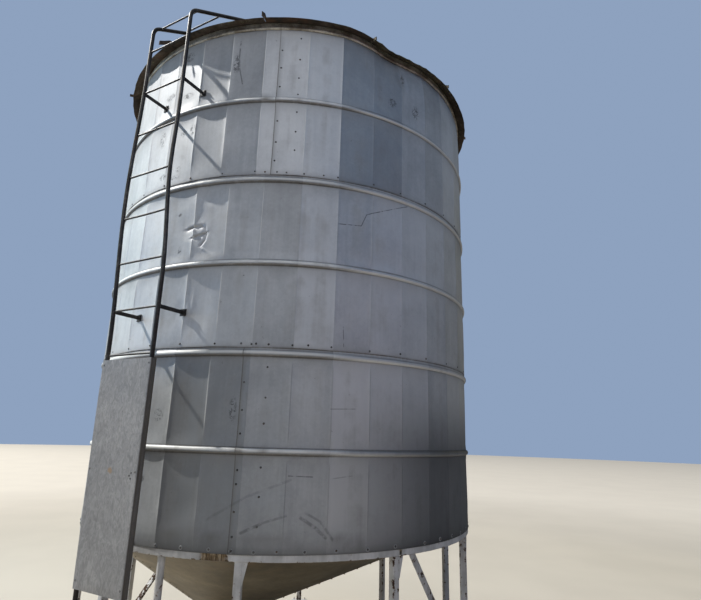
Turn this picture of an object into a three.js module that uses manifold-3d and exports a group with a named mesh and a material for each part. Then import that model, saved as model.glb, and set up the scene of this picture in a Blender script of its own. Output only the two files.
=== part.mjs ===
// A small farm grain silo on a ring of legs: a riveted sheet wall in three courses, a conical
// sheet roof, a leaning hopper under it, and a welded ladder with a sheet guard.
// Millimetres, +Z up. The origin is on the ground at the wall's axis. An azimuth is measured in
// degrees from -Y towards +X, so azimuth 0 faces -Y and azimuth 90 faces +X.
import * as THREE from "three";
import { mergeVertices } from "three/addons/utils/BufferGeometryUtils.js";
import Module from "manifold-3d";

const wasm = await Module();
wasm.setup();

// Clearance between touching pieces
const gap = 0.3;

// Wall: three courses of sheet, each lapped outside the one below it
const wallRadius = 1500;
const wallBottom = 1050;
const sheetThickness = 3;
const sheetWidth = 1219;
const rimHeight = 4492;
const ribHalfHeight = 22;
const ribProud = 16;
const lapAboveRib = 37;
const ribHeights = [1596, 2163, 2738, 3312, 3915];
const foldPitch = 9;
const courses = [
  { name: "lower", ribs: [0, 1], seam: -9 },
  { name: "middle", ribs: [2, 3], seam: 90 },
  { name: "upper", ribs: [4], seam: -9 },
];

// Top rim: a rolled bead with an upright strip that carries the roof
const beadProud = 9;
const beadHeight = 20;
const rimStrip = 6;

// Roof: sector sheets with a standing seam, and a fill collar with its lid
const roofPanels = 12;
const roofSeam = -12;
const roofSlope = 32;
const eaveRadius = 1584;
const eaveHeight = 4505;
const roofSheet = 3;
const seamWidth = 10;
const seamHeight = 26;
const seamOverhang = 12;
const seamTop = 400;
const roofHole = 290;
const collarFlange = 345;
const collarHeight = 95;
const lidRadius = 320;
const lidEdge = 18;
const lidRise = 70;

// Bottom ring: a rolled angle inside the foot of the wall
const ringThickness = 6;
const ringDrop = 37;
const ringLap = 60;
const ringLedge = 68;

// Hopper: a leaning cone from the ring to an outlet that is off the axis
const hopperPanels = 4;
const hopperSeam = 45;
const hopperTop = wallBottom + 35;
const outletOffset = -386;
const outletHeight = 360;
const outletRadius = 150;
const hopperSheet = 3.6;
const spigotBottom = 250;
const spigotWall = 4;
const spigotFlange = 192;

// Legs, the extra post and the two braces
const legCount = 10;
const firstLeg = -8.6;
const legSide = 46;
const footSide = 150;
const footThickness = 10;
const gussetWidth = 26;
const gussetHeight = 120;
const postAzimuth = -27;
const postRadius = 21.5;
const braceBays = [27.4, 207.4];
const braceFlange = 50;
const braceThickness = 6;
const braceTopTurn = 4.6;
const braceFootHeight = 70;

// Ladder with its brackets to the wall, and the sheet guard over its foot
const ladderAzimuth = -36;
const ladderGauge = 386;
const ladderDistance = 1687;
const stileRadius = 13.5;
const rungRadius = 6.5;
const rungHeights = [436, 776, 1116, 1456, 1796, 2136, 2421, 2738, 3060, 3369, 3693, 4034, 4384];
const ladderBend = 4600;
const bendRadius = 60;
const ladderRoofSlope = 33;
const ladderEnd = 560;
const roofRungs = [70, 330, 680, 1030];
const bracketHeights = [2421, 4034];
const bracketHeight = 25;
const bracketWidth = 8;
const lugSide = 46;
const lugThickness = 5;
const guardBottom = 835;
const guardTop = 2107;
const guardSheet = 3;
const guardReturn = 37;

// The stiles are bent. Heights, and how far a stile stands there to the right of its straight line
const leftBends = [[0, 55], [2150, 15], [3250, -43], [4150, -10]];
const rightBends = [[0, 33], [2600, 31], [3400, -24], [3750, -11]];

const radians = THREE.MathUtils.degToRad;
const silo = new THREE.Group();
silo.name = "grain_silo";

function finish(color, roughness, metalness) {
  return new THREE.MeshStandardMaterial({ color, roughness, metalness });
}

const galvanised = finish(0xa9aeb1, 0.5, 0.8);
const hopperFinish = finish(0x9a958a, 0.55, 0.7);
const rustedRoof = finish(0x4a4037, 0.85, 0.4);
const chippedPaint = finish(0xc9ccd0, 0.6, 0.1);
const darkSteel = finish(0x4b463f, 0.7, 0.6);

function addPiece(name, geometry, material) {
  const mesh = new THREE.Mesh(geometry, material);
  mesh.name = name;
  silo.add(mesh);
}

// Points in plan
function at(azimuth, radius, height, side = 0) {
  const a = radians(azimuth);
  return new THREE.Vector3(
    radius * Math.sin(a) + side * Math.cos(a),
    -radius * Math.cos(a) + side * Math.sin(a),
    height,
  );
}

// A closed solid from equal loops of points: walls between loops, and caps unless it closes
function loft(loops, closed) {
  const count = loops[0].length;
  const positions = loops.flat().flatMap((point) => point.toArray());
  const index = [];
  const spans = closed ? loops.length : loops.length - 1;
  for (let i = 0; i < spans; i += 1) {
    const here = i * count;
    const next = ((i + 1) % loops.length) * count;
    for (let j = 0; j < count; j += 1) {
      const k = (j + 1) % count;
      index.push(here + j, next + j, next + k, here + j, next + k, here + k);
    }
  }
  if (!closed) {
    const last = (loops.length - 1) * count;
    for (const [a, b, c] of capTriangles(loops[0])) {
      index.push(a, b, c);
    }
    for (const [a, b, c] of capTriangles(loops[loops.length - 1])) {
      index.push(last + a, last + c, last + b);
    }
  }
  const geometry = new THREE.BufferGeometry();
  geometry.setAttribute("position", new THREE.Float32BufferAttribute(positions, 3));
  geometry.setIndex(index);
  return outward(geometry);
}

// Triangles that fill one flat loop, in the loop's own turning direction
function capTriangles(loop) {
  const normal = new THREE.Vector3();
  loop.forEach((point, i) => {
    normal.add(new THREE.Vector3().crossVectors(point, loop[(i + 1) % loop.length]));
  });
  normal.normalize();
  const across = new THREE.Vector3().subVectors(loop[1], loop[0]).normalize();
  const up = new THREE.Vector3().crossVectors(normal, across);
  const flat = loop.map((point) => new THREE.Vector2(point.dot(across), point.dot(up)));
  return THREE.ShapeUtils.triangulateShape(flat, []);
}

// Turns every face round when the volume comes out negative
function outward(geometry) {
  const position = geometry.getAttribute("position");
  const index = Array.from(geometry.getIndex().array);
  const [a, b, c] = [new THREE.Vector3(), new THREE.Vector3(), new THREE.Vector3()];
  let volume = 0;
  for (let i = 0; i < index.length; i += 3) {
    a.fromBufferAttribute(position, index[i]);
    b.fromBufferAttribute(position, index[i + 1]);
    c.fromBufferAttribute(position, index[i + 2]);
    volume += a.dot(b.cross(c));
  }
  if (volume < 0) {
    for (let i = 0; i < index.length; i += 3) {
      [index[i + 1], index[i + 2]] = [index[i + 2], index[i + 1]];
    }
    geometry.setIndex(index);
  }
  geometry.computeVertexNormals();
  return geometry;
}

// Joining and cutting
function toSolid(geometry) {
  const bare = geometry.clone();
  bare.deleteAttribute("normal");
  bare.deleteAttribute("uv");
  const merged = mergeVertices(bare, 1e-3);
  const vertProperties = Float32Array.from(merged.getAttribute("position").array);
  const triVerts = Uint32Array.from(merged.getIndex().array);
  return new wasm.Manifold(new wasm.Mesh({ numProp: 3, vertProperties, triVerts }));
}

function fromSolid(solid) {
  const mesh = solid.getMesh();
  const geometry = new THREE.BufferGeometry();
  geometry.setAttribute("position", new THREE.Float32BufferAttribute(mesh.vertProperties, 3));
  geometry.setIndex(Array.from(mesh.triVerts));
  geometry.computeVertexNormals();
  return geometry;
}

function join(geometries) {
  return fromSolid(geometries.map(toSolid).reduce((whole, piece) => whole.add(piece)));
}

function cut(geometry, tools) {
  return fromSolid(tools.map(toSolid).reduce((whole, tool) => whole.subtract(tool), toSolid(geometry)));
}

// A sheet or ring swept round the axis: a profile of [radius, height] at each azimuth
function sweep(profile, azimuths, closed = false) {
  return loft(azimuths.map((azimuth) => profile.map(([radius, z]) => at(azimuth, radius, z))), closed);
}

function evenAzimuths(from, to, steps) {
  return Array.from({ length: steps + 1 }, (_, i) => from + ((to - from) * i) / steps);
}

// A box that stands on its azimuth: size is [radial, sideways, height] about its centre
function standingBox(azimuth, radius, side, height, size) {
  const geometry = new THREE.BoxGeometry(size[1], size[0], size[2]);
  geometry.rotateZ(radians(azimuth));
  const centre = at(azimuth, radius, height, side);
  return geometry.translate(centre.x, centre.y, centre.z);
}

function standingCylinder(azimuth, radius, side, from, to, size, sides) {
  const geometry = new THREE.CylinderGeometry(size, size, to - from, sides);
  geometry.rotateX(Math.PI / 2);
  const centre = at(azimuth, radius, (from + to) / 2, side);
  return geometry.translate(centre.x, centre.y, centre.z);
}

// Azimuths of the folds of one sheet, between its two seams
function sheetFolds(course, half) {
  const inset = 0.012;
  const start = course.seam + 180 * half;
  const folds = evenAzimuths(start, start + 180, 180 / foldPitch);
  folds[0] += inset;
  folds[folds.length - 1] -= inset;
  return folds;
}

const allFolds = evenAzimuths(0, 360 - foldPitch, 360 / foldPitch - 1);

// Each course is one sheet thickness wider than the one below it
function courseInside(level) {
  return wallRadius - sheetThickness + level * (sheetThickness + gap);
}

function courseBottom(level) {
  return level === 0 ? wallBottom : ribHeights[2 * level - 1] + lapAboveRib;
}

function courseTop(level) {
  return Math.min(courseBottom(level) + sheetWidth, rimHeight);
}

function ribArc(radius, height, halfHeight) {
  return [-90, -60, -30, 0, 30, 60, 90].map((turn) => [
    radius + ribProud * Math.cos(radians(turn)),
    height + halfHeight * Math.sin(radians(turn)),
  ]);
}

function sheetProfile(level) {
  const inside = courseInside(level);
  const outside = inside + sheetThickness;
  const ribs = courses[level].ribs.map((rib) => ribHeights[rib]);
  const outer = ribs.flatMap((height) => ribArc(outside, height, ribHalfHeight));
  const inner = ribs.flatMap((height) => ribArc(inside, height, ribHalfHeight - sheetThickness));
  return [
    [outside, courseBottom(level)],
    ...outer,
    [outside, courseTop(level)],
    [inside, courseTop(level)],
    ...inner.reverse(),
    [inside, courseBottom(level)],
  ];
}

function buildWall() {
  courses.forEach((course, level) => {
    for (const half of [0, 1]) {
      const name = `wall_sheet_${course.name}_${half + 1}`;
      addPiece(name, sweep(sheetProfile(level), sheetFolds(course, half)), galvanised);
    }
  });
}

// Roof surface: height of the sheet's underside at a radius
function roofUnder(radius) {
  return eaveHeight + (eaveRadius - radius) * Math.tan(radians(roofSlope));
}

const roofDepth = roofSheet / Math.cos(radians(roofSlope));
const roofSteps = 5;

// How far the flats of the roof hang below its folds over the wall
const halfFold = 180 / (roofPanels * roofSteps);
const roofSag = eaveRadius * (1 - Math.cos(radians(halfFold))) * Math.tan(radians(roofSlope));

function roofOver(radius) {
  return roofUnder(radius) + roofDepth;
}

function buildRim() {
  const top = courses.length - 1;
  const inside = courseInside(top);
  const outside = inside + sheetThickness + beadProud;
  const foot = rimHeight + gap;
  const stripInside = inside - rimStrip / 2;
  const stripOutside = inside + rimStrip / 2;
  const profile = [
    [inside - 4, foot],
    [outside - 4, foot],
    [outside, foot + beadHeight / 2],
    [outside - 4, foot + beadHeight],
    [stripOutside, foot + beadHeight],
    [stripOutside, roofUnder(stripOutside) - roofSag - gap],
    [stripInside, roofUnder(stripInside) - roofSag - gap],
    [stripInside, foot + beadHeight],
    [inside - 4, foot + beadHeight],
  ];
  addPiece("top_rim", sweep(profile, allFolds, true), galvanised);
}

function buildRoof() {
  const sector = 360 / roofPanels;
  const inset = 0.03;
  const profile = [
    [roofHole, roofUnder(roofHole)],
    [eaveRadius, roofUnder(eaveRadius)],
    [eaveRadius, roofOver(eaveRadius)],
    [roofHole, roofOver(roofHole)],
  ];
  for (let i = 0; i < roofPanels; i += 1) {
    const seam = roofSeam + sector * i;
    const sheet = sweep(profile, evenAzimuths(seam + inset, seam + sector - inset, roofSteps));
    addPiece(`roof_panel_${i + 1}`, join([sheet, roofStandingSeam(seam)]), rustedRoof);
  }
}

// The standing seam is turned up along the first edge of each roof sheet
function roofStandingSeam(seam) {
  const bury = 1.5;
  const stations = [seamTop, eaveRadius + seamOverhang];
  return loft(
    stations.map((radius) => [
      at(seam, radius, roofOver(radius) - bury, 0.8),
      at(seam, radius, roofOver(radius) - bury, seamWidth),
      at(seam, radius, roofOver(radius) + seamHeight, seamWidth),
      at(seam, radius, roofOver(radius) + seamHeight, 0.8),
    ]),
    false,
  );
}

function buildFillCollar() {
  const wall = 10;
  const flange = 4;
  const collarTop = roofOver(roofHole) + collarHeight;
  const outside = roofHole + 2 + wall;
  const collar = [
    [roofHole + 2, roofOver(roofHole + 2) + gap],
    [collarFlange, roofOver(collarFlange) + gap],
    [collarFlange, roofOver(collarFlange) + gap + flange],
    [outside, roofOver(outside) + gap + flange],
    [outside, collarTop],
    [roofHole + 2, collarTop],
  ];
  addPiece("fill_collar", sweep(collar, evenAzimuths(roofSeam, roofSeam + 354, 59), true), galvanised);
  const lid = [
    [0, collarTop + gap],
    [lidRadius, collarTop + gap],
    [lidRadius, collarTop + gap + lidEdge],
    [0, collarTop + gap + lidEdge + lidRise],
  ].map(([radius, height]) => new THREE.Vector2(radius, height));
  const lidShape = new THREE.LatheGeometry(lid, 48).rotateX(Math.PI / 2);
  addPiece("fill_lid", join([lidShape]), galvanised);
}

// Bottom ring
const ringOutside = wallRadius - sheetThickness - gap;
const ringBottom = wallBottom - ringDrop;

function buildRing() {
  const profile = [
    [ringOutside - ringLedge, ringBottom],
    [ringOutside, ringBottom],
    [ringOutside, wallBottom + ringLap],
    [ringOutside - ringThickness, wallBottom + ringLap],
    [ringOutside - ringThickness, ringBottom + ringThickness],
    [ringOutside - ringLedge, ringBottom + ringThickness],
  ];
  addPiece("bottom_ring", sweep(profile, allFolds, true), chippedPaint);
}

// Hopper: straight lines from the ring to the outlet circle
function hopperPoint(azimuth, fraction, lift) {
  const radius = ringOutside - ringThickness - gap;
  const top = at(azimuth, radius, hopperTop);
  const outlet = at(azimuth, outletRadius, outletHeight);
  outlet.x += outletOffset;
  const point = top.lerp(outlet, fraction);
  point.z += lift;
  return point;
}

function buildHopper() {
  const inset = 0.06;
  const turn = 360 / hopperPanels;
  for (let i = 0; i < hopperPanels; i += 1) {
    const from = hopperSeam + turn * i;
    const azimuths = evenAzimuths(from, from + turn, turn / foldPitch);
    azimuths[0] += inset;
    azimuths[azimuths.length - 1] -= inset;
    const loops = azimuths.map((azimuth) => [
      hopperPoint(azimuth, 0, 0),
      hopperPoint(azimuth, 1, 0),
      hopperPoint(azimuth, 1, hopperSheet),
      hopperPoint(azimuth, 0, hopperSheet),
    ]);
    addPiece(`hopper_panel_${i + 1}`, loft(loops, false), hopperFinish);
  }
}

function buildSpigot() {
  const inside = outletRadius - spigotWall;
  const top = outletHeight - gap;
  const lip = 14;
  const profile = [
    [inside, spigotBottom],
    [spigotFlange, spigotBottom],
    [spigotFlange, spigotBottom + ringThickness],
    [outletRadius, spigotBottom + ringThickness],
    [outletRadius, top - spigotWall],
    [outletRadius + lip, top - spigotWall],
    [outletRadius + lip, top],
    [inside, top],
  ];
  const geometry = sweep(profile, evenAzimuths(0, 352.5, 47), true);
  addPiece("outlet_spigot", geometry.translate(outletOffset, 0, 0), hopperFinish);
}

// Legs stand under the bottom ring, flush with its outside at its flattest
const legRadius = ringOutside * Math.cos(radians(foldPitch / 2)) - legSide / 2;

function legBlock(azimuth, grow) {
  const size = [legSide + grow, legSide + grow, ringBottom - gap - footThickness + 1];
  return standingBox(azimuth, legRadius, 0, footThickness - 1 + size[2] / 2, size);
}

function legGusset(azimuth) {
  const shape = new THREE.Shape();
  shape.moveTo(-2, 0);
  shape.lineTo(gussetWidth, 0);
  shape.lineTo(0, -gussetHeight);
  shape.lineTo(-2, -gussetHeight);
  const depth = 8;
  const geometry = new THREE.ExtrudeGeometry(shape, { depth, bevelEnabled: false });
  geometry.rotateX(Math.PI / 2);
  geometry.rotateZ(radians(azimuth));
  const corner = at(azimuth, legRadius + legSide / 2 - depth, ringBottom - gap, legSide / 2);
  return geometry.translate(corner.x, corner.y, corner.z);
}

function buildLegs() {
  for (let i = 0; i < legCount; i += 1) {
    const azimuth = firstLeg + (360 / legCount) * i;
    const size = [footSide, footSide, footThickness];
    const foot = standingBox(azimuth, legRadius, 0, footThickness / 2, size);
    addPiece(`leg_${i + 1}`, join([legBlock(azimuth, 0), foot, legGusset(azimuth)]), chippedPaint);
  }
}

function buildPost() {
  const foot = standingCylinder(postAzimuth, legRadius, 0, 0, footThickness, postRadius * 2.2, 24);
  const top = ringBottom - gap;
  const pipe = standingCylinder(postAzimuth, legRadius, 0, footThickness - 1, top, postRadius, 20);
  addPiece("extra_post", join([pipe, foot]), chippedPaint);
}

// A brace is an angle bar from the ring beside one leg down to the foot of the next
function buildBraces() {
  const bay = 360 / legCount;
  braceBays.forEach((legAzimuth, i) => {
    const next = legAzimuth + bay;
    const top = at(legAzimuth + braceTopTurn, legRadius, ringBottom);
    const foot = at(next, legRadius, braceFootHeight);
    const along = new THREE.Vector3().subVectors(foot, top).normalize();
    const outwards = at(legAzimuth + bay / 2, 1, 0);
    const across = new THREE.Vector3().crossVectors(along, outwards).normalize();
    const out = new THREE.Vector3().crossVectors(across, along).normalize();
    const section = [
      [0, 0],
      [braceFlange, 0],
      [braceFlange, -braceThickness],
      [braceThickness, -braceThickness],
      [braceThickness, -braceFlange],
      [0, -braceFlange],
    ];
    const ends = [top.clone().addScaledVector(along, -60), foot.clone().addScaledVector(along, 40)];
    const bar = loft(
      ends.map((end) =>
        section.map(([u, v]) =>
          end.clone().addScaledVector(across, u - braceFlange / 2).addScaledVector(out, v + braceFlange / 2),
        ),
      ),
      false,
    );
    const above = new THREE.BoxGeometry(4000, 4000, 400).translate(0, 0, ringBottom - gap + 200);
    const tools = [legBlock(next, 2 * gap), legBlock(legAzimuth, 2 * gap), above];
    addPiece(`brace_${i + 1}`, largestPart(cut(bar, tools), foot), chippedPaint);
  });
}

// Keeps the part of a cut bar on the near side of the leg it runs to
function largestPart(geometry) {
  const parts = toSolid(geometry).decompose();
  const volumes = parts.map((part) => part.volume());
  return fromSolid(parts[volumes.indexOf(Math.max(...volumes))]);
}

// Ladder stiles: upright, bent in over the eave, and down to a foot on the roof
const stileSides = 12;
const stileFlat = stileRadius * Math.cos(Math.PI / stileSides);
const stileLevels = [0, ...rungHeights].flatMap((height, i, all) =>
  i > 0 ? [(all[i - 1] + height) / 2, height] : [height],
);

// How far a stile stands to the side of the ladder's middle, easing from each bend to the next
function stileSide(hand, height) {
  const bends = hand < 0 ? leftBends : rightBends;
  const straight = (hand * ladderGauge) / 2;
  const next = bends.findIndex(([level]) => level > height);
  if (next < 0) {
    return straight + bends[bends.length - 1][1];
  }
  const [low, from] = bends[next - 1];
  const [high, to] = bends[next];
  return straight + from + (to - from) * THREE.MathUtils.smoothstep(height, low, high);
}

function roofRun(run) {
  const slope = radians(ladderRoofSlope);
  return [ladderDistance - run * Math.cos(slope), ladderBend + run * Math.sin(slope)];
}

function stilePoints(hand) {
  const point = ([distance, height]) => at(ladderAzimuth, distance, height, stileSide(hand, height));
  const slope = radians(ladderRoofSlope);
  const reach = bendRadius * Math.tan((Math.PI / 2 - slope) / 2);
  const corner = point([ladderDistance, ladderBend]);
  const bendStart = point([ladderDistance, ladderBend - reach]);
  const bend = new THREE.QuadraticBezierCurve3(bendStart, corner, point(roofRun(reach)));
  const top = point(roofRun((ladderDistance - ladderEnd) / Math.cos(slope)));
  const side = stileSide(hand, ladderBend);
  const foot = at(ladderAzimuth, ladderEnd, roofUnder(Math.hypot(ladderEnd, side)) - 40, side);
  const upright = stileLevels.map((height) => point([ladderDistance, height]));
  return [...upright, ...bend.getPoints(4), top, foot];
}

// A round bar through a list of points, mitred at each one
function bar(points, radius, sides, across) {
  const loops = points.map((point, i) => {
    const before = points[Math.max(i - 1, 0)];
    const after = points[Math.min(i + 1, points.length - 1)];
    const arriving = new THREE.Vector3().subVectors(point, before).normalize();
    const leaving = new THREE.Vector3().subVectors(after, point).normalize();
    const tangent = arriving.clone().add(leaving).normalize();
    const inside = i > 0 && i < points.length - 1;
    const stretch = inside ? 1 / tangent.dot(leaving) : 1;
    const up = new THREE.Vector3().crossVectors(tangent, across).normalize();
    return Array.from({ length: sides }, (_, k) => {
      const turn = (2 * Math.PI * (k + 0.5)) / sides;
      return point
        .clone()
        .addScaledVector(across, radius * Math.cos(turn))
        .addScaledVector(up, radius * stretch * Math.sin(turn));
    });
  });
  return loft(loops, false);
}

// An arm welded to the stile, with a lug at its end that lies on the wall
function bracketPieces(side, height) {
  const radius = bracketWall(height);
  const start = wallRadius - 60;
  const length = ladderDistance - start;
  const arm = [length, bracketWidth, bracketHeight];
  const turn = THREE.MathUtils.radToDeg(Math.asin(side / radius));
  return [
    standingBox(ladderAzimuth, start + length / 2, side, height, arm),
    standingBox(ladderAzimuth + turn, radius, 0, height, [2 * lugThickness, lugSide, lugSide]),
  ];
}

function bracketWall(height) {
  const level = height > courseBottom(2) ? 2 : 1;
  return courseInside(level) + sheetThickness;
}

function buildStiles() {
  const across = at(ladderAzimuth, 0, 0, 1);
  const roof = [
    [0, eaveHeight - 200],
    [eaveRadius, eaveHeight - 200],
    [eaveRadius, roofOver(eaveRadius) + gap],
    [seamTop, roofOver(seamTop) + gap],
    [0, roofOver(seamTop) + gap],
  ];
  const tools = [sweep(roof, evenAzimuths(roofSeam, roofSeam + 354, 59), true)];
  for (const height of bracketHeights) {
    const outside = bracketWall(height) + gap;
    const wall = [
      [0, height - bracketHeight * 2],
      [outside, height - bracketHeight * 2],
      [outside, height + bracketHeight * 2],
      [0, height + bracketHeight * 2],
    ];
    tools.push(sweep(wall, allFolds, true));
  }
  for (const hand of [-1, 1]) {
    const stile = bar(stilePoints(hand), stileRadius, stileSides, across);
    const brackets = bracketHeights.flatMap((height) => bracketPieces(stileSide(hand, height), height));
    addPiece(`stile_${hand < 0 ? "left" : "right"}`, cut(join([stile, ...brackets]), tools), darkSteel);
  }
}

// A rung ends at the flat of the stile, clear of the stile's lean
function rungEnd(hand, height) {
  const lean = stileSide(hand, height + rungRadius) - stileSide(hand, height - rungRadius);
  return stileSide(hand, height) - hand * (stileFlat + gap + Math.abs(lean) / 2);
}

function buildRungs() {
  const places = [
    ...rungHeights.map((height) => [ladderDistance, height]),
    ...roofRungs.map((run) => roofRun(run)),
  ];
  const up = new THREE.Vector3(0, 0, 1);
  places.forEach(([distance, height], i) => {
    const ends = [-1, 1].map((hand) => at(ladderAzimuth, distance, height, rungEnd(hand, height)));
    addPiece(`rung_${i + 1}`, bar(ends, rungRadius, 10, up), darkSteel);
  });
}

// The guard is one sheet folded round both stiles
function buildGuard() {
  const face = ladderDistance + stileRadius + gap;
  const between = stileLevels.filter((level) => level > guardBottom && level < guardTop);
  const loops = [guardBottom, ...between, guardTop].map((height) => {
    const left = stileSide(-1, height) - stileRadius - gap;
    const right = stileSide(1, height) + stileRadius + gap;
    const outline = [
      [face + guardSheet, left - guardSheet],
      [face + guardSheet, right + guardSheet],
      [face - guardReturn, right + guardSheet],
      [face - guardReturn, right],
      [face, right],
      [face, left],
      [face - guardReturn, left],
      [face - guardReturn, left - guardSheet],
    ];
    return outline.map(([distance, side]) => at(ladderAzimuth, distance, height, side));
  });
  addPiece("ladder_guard", loft(loops, false), galvanised);
}

buildWall();
buildRim();
buildRoof();
buildFillCollar();
buildRing();
buildHopper();
buildSpigot();
buildLegs();
buildPost();
buildBraces();
buildStiles();
buildRungs();
buildGuard();

export default silo;
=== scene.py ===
# Grain silo on legs: every visible piece, its finish, the light and the view.
# Metres, +Z up, origin on the ground under the wall's axis. An azimuth is in degrees from -Y
# towards +X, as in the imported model, so azimuth 0 faces the viewer.
import math

import bmesh
import bpy
import numpy as np
from mathutils import Matrix, Vector


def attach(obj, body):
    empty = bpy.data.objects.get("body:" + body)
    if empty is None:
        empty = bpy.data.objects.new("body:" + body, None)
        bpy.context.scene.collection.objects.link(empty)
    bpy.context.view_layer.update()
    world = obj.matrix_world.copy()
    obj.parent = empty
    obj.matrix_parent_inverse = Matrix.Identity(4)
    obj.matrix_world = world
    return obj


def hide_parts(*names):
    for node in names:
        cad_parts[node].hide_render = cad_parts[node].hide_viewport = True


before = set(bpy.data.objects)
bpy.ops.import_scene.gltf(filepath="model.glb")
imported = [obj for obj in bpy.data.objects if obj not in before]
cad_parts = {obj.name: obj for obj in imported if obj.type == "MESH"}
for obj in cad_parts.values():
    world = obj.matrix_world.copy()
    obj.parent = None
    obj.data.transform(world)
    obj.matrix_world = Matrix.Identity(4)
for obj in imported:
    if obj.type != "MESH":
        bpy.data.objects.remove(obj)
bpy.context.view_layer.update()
print("frame:", len(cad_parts), "nodes")

viewer = {"place": (0.0, -4.62, 1.6935), "turn": 6.37, "rise": 14.79, "roll": 1.62, "lens": 26.53}


def makeCamera():
    turn, rise, roll = (math.radians(viewer[word]) for word in ("turn", "rise", "roll"))
    level = Vector((math.sin(turn), math.cos(turn), 0))
    across = Vector((math.cos(turn), -math.sin(turn), 0))
    ahead = level * math.cos(rise) + Vector((0, 0, math.sin(rise)))
    above = Vector((0, 0, math.cos(rise))) - level * math.sin(rise)
    right = across * math.cos(roll) + above * math.sin(roll)
    top = above * math.cos(roll) - across * math.sin(roll)
    camera = bpy.data.objects.new("camera", bpy.data.cameras.new("camera"))
    camera.data.lens = viewer["lens"]
    camera.data.sensor_width = 36.0
    camera.data.clip_end = 200.0
    turned = Matrix((right, top, -ahead)).transposed().to_4x4()
    camera.matrix_world = Matrix.Translation(Vector(viewer["place"])) @ turned
    bpy.context.scene.collection.objects.link(camera)
    bpy.context.scene.camera = camera


makeCamera()
bpy.context.scene.view_settings.view_transform = "Standard"
print("camera made")


# A socket of a finish, so that sums on sockets are written as plain expressions
class Value:
    def __init__(self, finish, socket):
        self.finish = finish
        self.socket = socket

    def __add__(self, other):
        return self.finish.sum("ADD", self, other)

    def __sub__(self, other):
        return self.finish.sum("SUBTRACT", self, other)

    def __rsub__(self, other):
        return self.finish.sum("SUBTRACT", other, self)

    def __mul__(self, other):
        return self.finish.sum("MULTIPLY", self, other)

    def __neg__(self):
        return self.finish.sum("MULTIPLY", self, -1.0)

    __radd__ = __add__
    __rmul__ = __mul__


class Finish:
    def __init__(self, name, **constants):
        self.material = bpy.data.materials.new(name)
        self.material.use_nodes = True
        self.tree = self.material.node_tree
        self.tree.nodes.clear()
        self.shader = self.tree.nodes.new("ShaderNodeBsdfPrincipled")
        output = self.tree.nodes.new("ShaderNodeOutputMaterial")
        self.tree.links.new(self.shader.outputs[0], output.inputs["Surface"])
        for socket, value in constants.items():
            self.shader.inputs[socket.replace("_", " ")].default_value = value
        self.place = self.node("TexCoord", output="Object")
        self.x, self.y, self.z = self.parts(self.place)

    def node(self, kind, settings=None, sockets=None, output=0):
        made = self.tree.nodes.new("ShaderNode" + kind)
        for word, value in (settings or {}).items():
            if word == "stops":
                elements = made.color_ramp.elements
                while len(elements) < len(value):
                    elements.new(0.5)
                for element, (where, colour) in zip(elements, value):
                    element.position = where
                    element.color = (*colour, 1)
            else:
                setattr(made, word, value)
        for word, value in (sockets or {}).items():
            if isinstance(value, Value):
                self.tree.links.new(value.socket, made.inputs[word])
            else:
                made.inputs[word].default_value = value
        return Value(self, made.outputs[output])

    def sum(self, operation, *values):
        return self.node("Math", {"operation": operation}, dict(enumerate(values)))

    def larger(self, first, second):
        return second if first is None else self.sum("MAXIMUM", first, second)

    def parts(self, vector):
        outputs = self.node("SeparateXYZ", sockets={0: vector}).socket.node.outputs
        return [Value(self, outputs[word]) for word in "XYZ"]

    def noise(self, scale, detail=3.0, rough=0.55, warp=0.0, vector=None):
        sockets = {"Vector": vector or self.place, "Scale": scale, "Detail": detail,
                   "Roughness": rough, "Distortion": warp}
        return self.node("TexNoise", sockets=sockets)

    # noise that is finer along some axes, such as the streaks down a sheet
    def streaks(self, scales, detail=4.0, rough=0.6, warp=0.0):
        drawn = self.node("VectorMath", {"operation": "MULTIPLY"}, {0: self.place, 1: scales})
        return self.noise(1.0, detail, rough, warp, drawn)

    # one flat tone for each flake of zinc
    def spangle(self, scale):
        sockets = {"Vector": self.place, "Scale": scale}
        return self.parts(self.node("TexVoronoi", sockets=sockets, output="Color"))[0]

    def rise(self, value, low, high):
        settings = {"interpolation_type": "SMOOTHSTEP", "clamp": True}
        return self.node("MapRange", settings, {0: value, 1: low, 2: high, 3: 0.0, 4: 1.0})

    def ramp(self, value, stops):
        return self.node("ValToRGB", {"stops": stops}, {0: value})

    def mix(self, amount, first, second, kind="MIX"):
        settings = {"data_type": "RGBA", "blend_type": kind, "clamp_factor": True}
        first, second = [c if isinstance(c, Value) else (*c, 1) for c in (first, second)]
        return self.node("Mix", settings, {0: amount, 6: first, 7: second}, 2)

    # what the mesh says about each point: dirt and painted shade, tone, painted sheen and dark lines, and
    # painted shading that darkens the colour
    def notes(self):
        settings = {"attribute_name": "wear"}
        paintedShading = self.node("Attribute", settings, output="Alpha")
        return self.parts(self.node("Attribute", settings, output="Color")) + [paintedShading]

    def bump(self, height, strength, distance):
        sockets = {"Height": height, "Strength": strength, "Distance": distance}
        return self.node("Bump", sockets=sockets)

    def ends(self, **links):
        for word, value in links.items():
            self.tree.links.new(value.socket, self.shader.inputs[word.replace("_", " ")])
        return self.material


up = Vector((0, 0, 1))
metresPerDegree = math.radians(1.0) * 1.500     # along the wall


# The point at an azimuth, a radius and a height, and so far aside to the viewer's right
def at(azimuth, radius, height, side=0.0):
    turn = math.radians(azimuth)
    return Vector((radius * math.sin(turn) + side * math.cos(turn),
                   -radius * math.cos(turn) + side * math.sin(turn), height))


def around(azimuths, radii, heights):
    turn = np.radians(azimuths)
    return np.stack([radii * np.sin(turn), -radii * np.cos(turn), heights + 0.0 * turn], axis=-1)


def circle(count):
    return np.linspace(0, 2 * math.pi, count, endpoint=False)


# an axis made one metre long, and two directions across it
def crossed(axis):
    axis = Vector(axis).normalized()
    across = axis.orthogonal().normalized()
    return axis, across, axis.cross(across)


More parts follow.
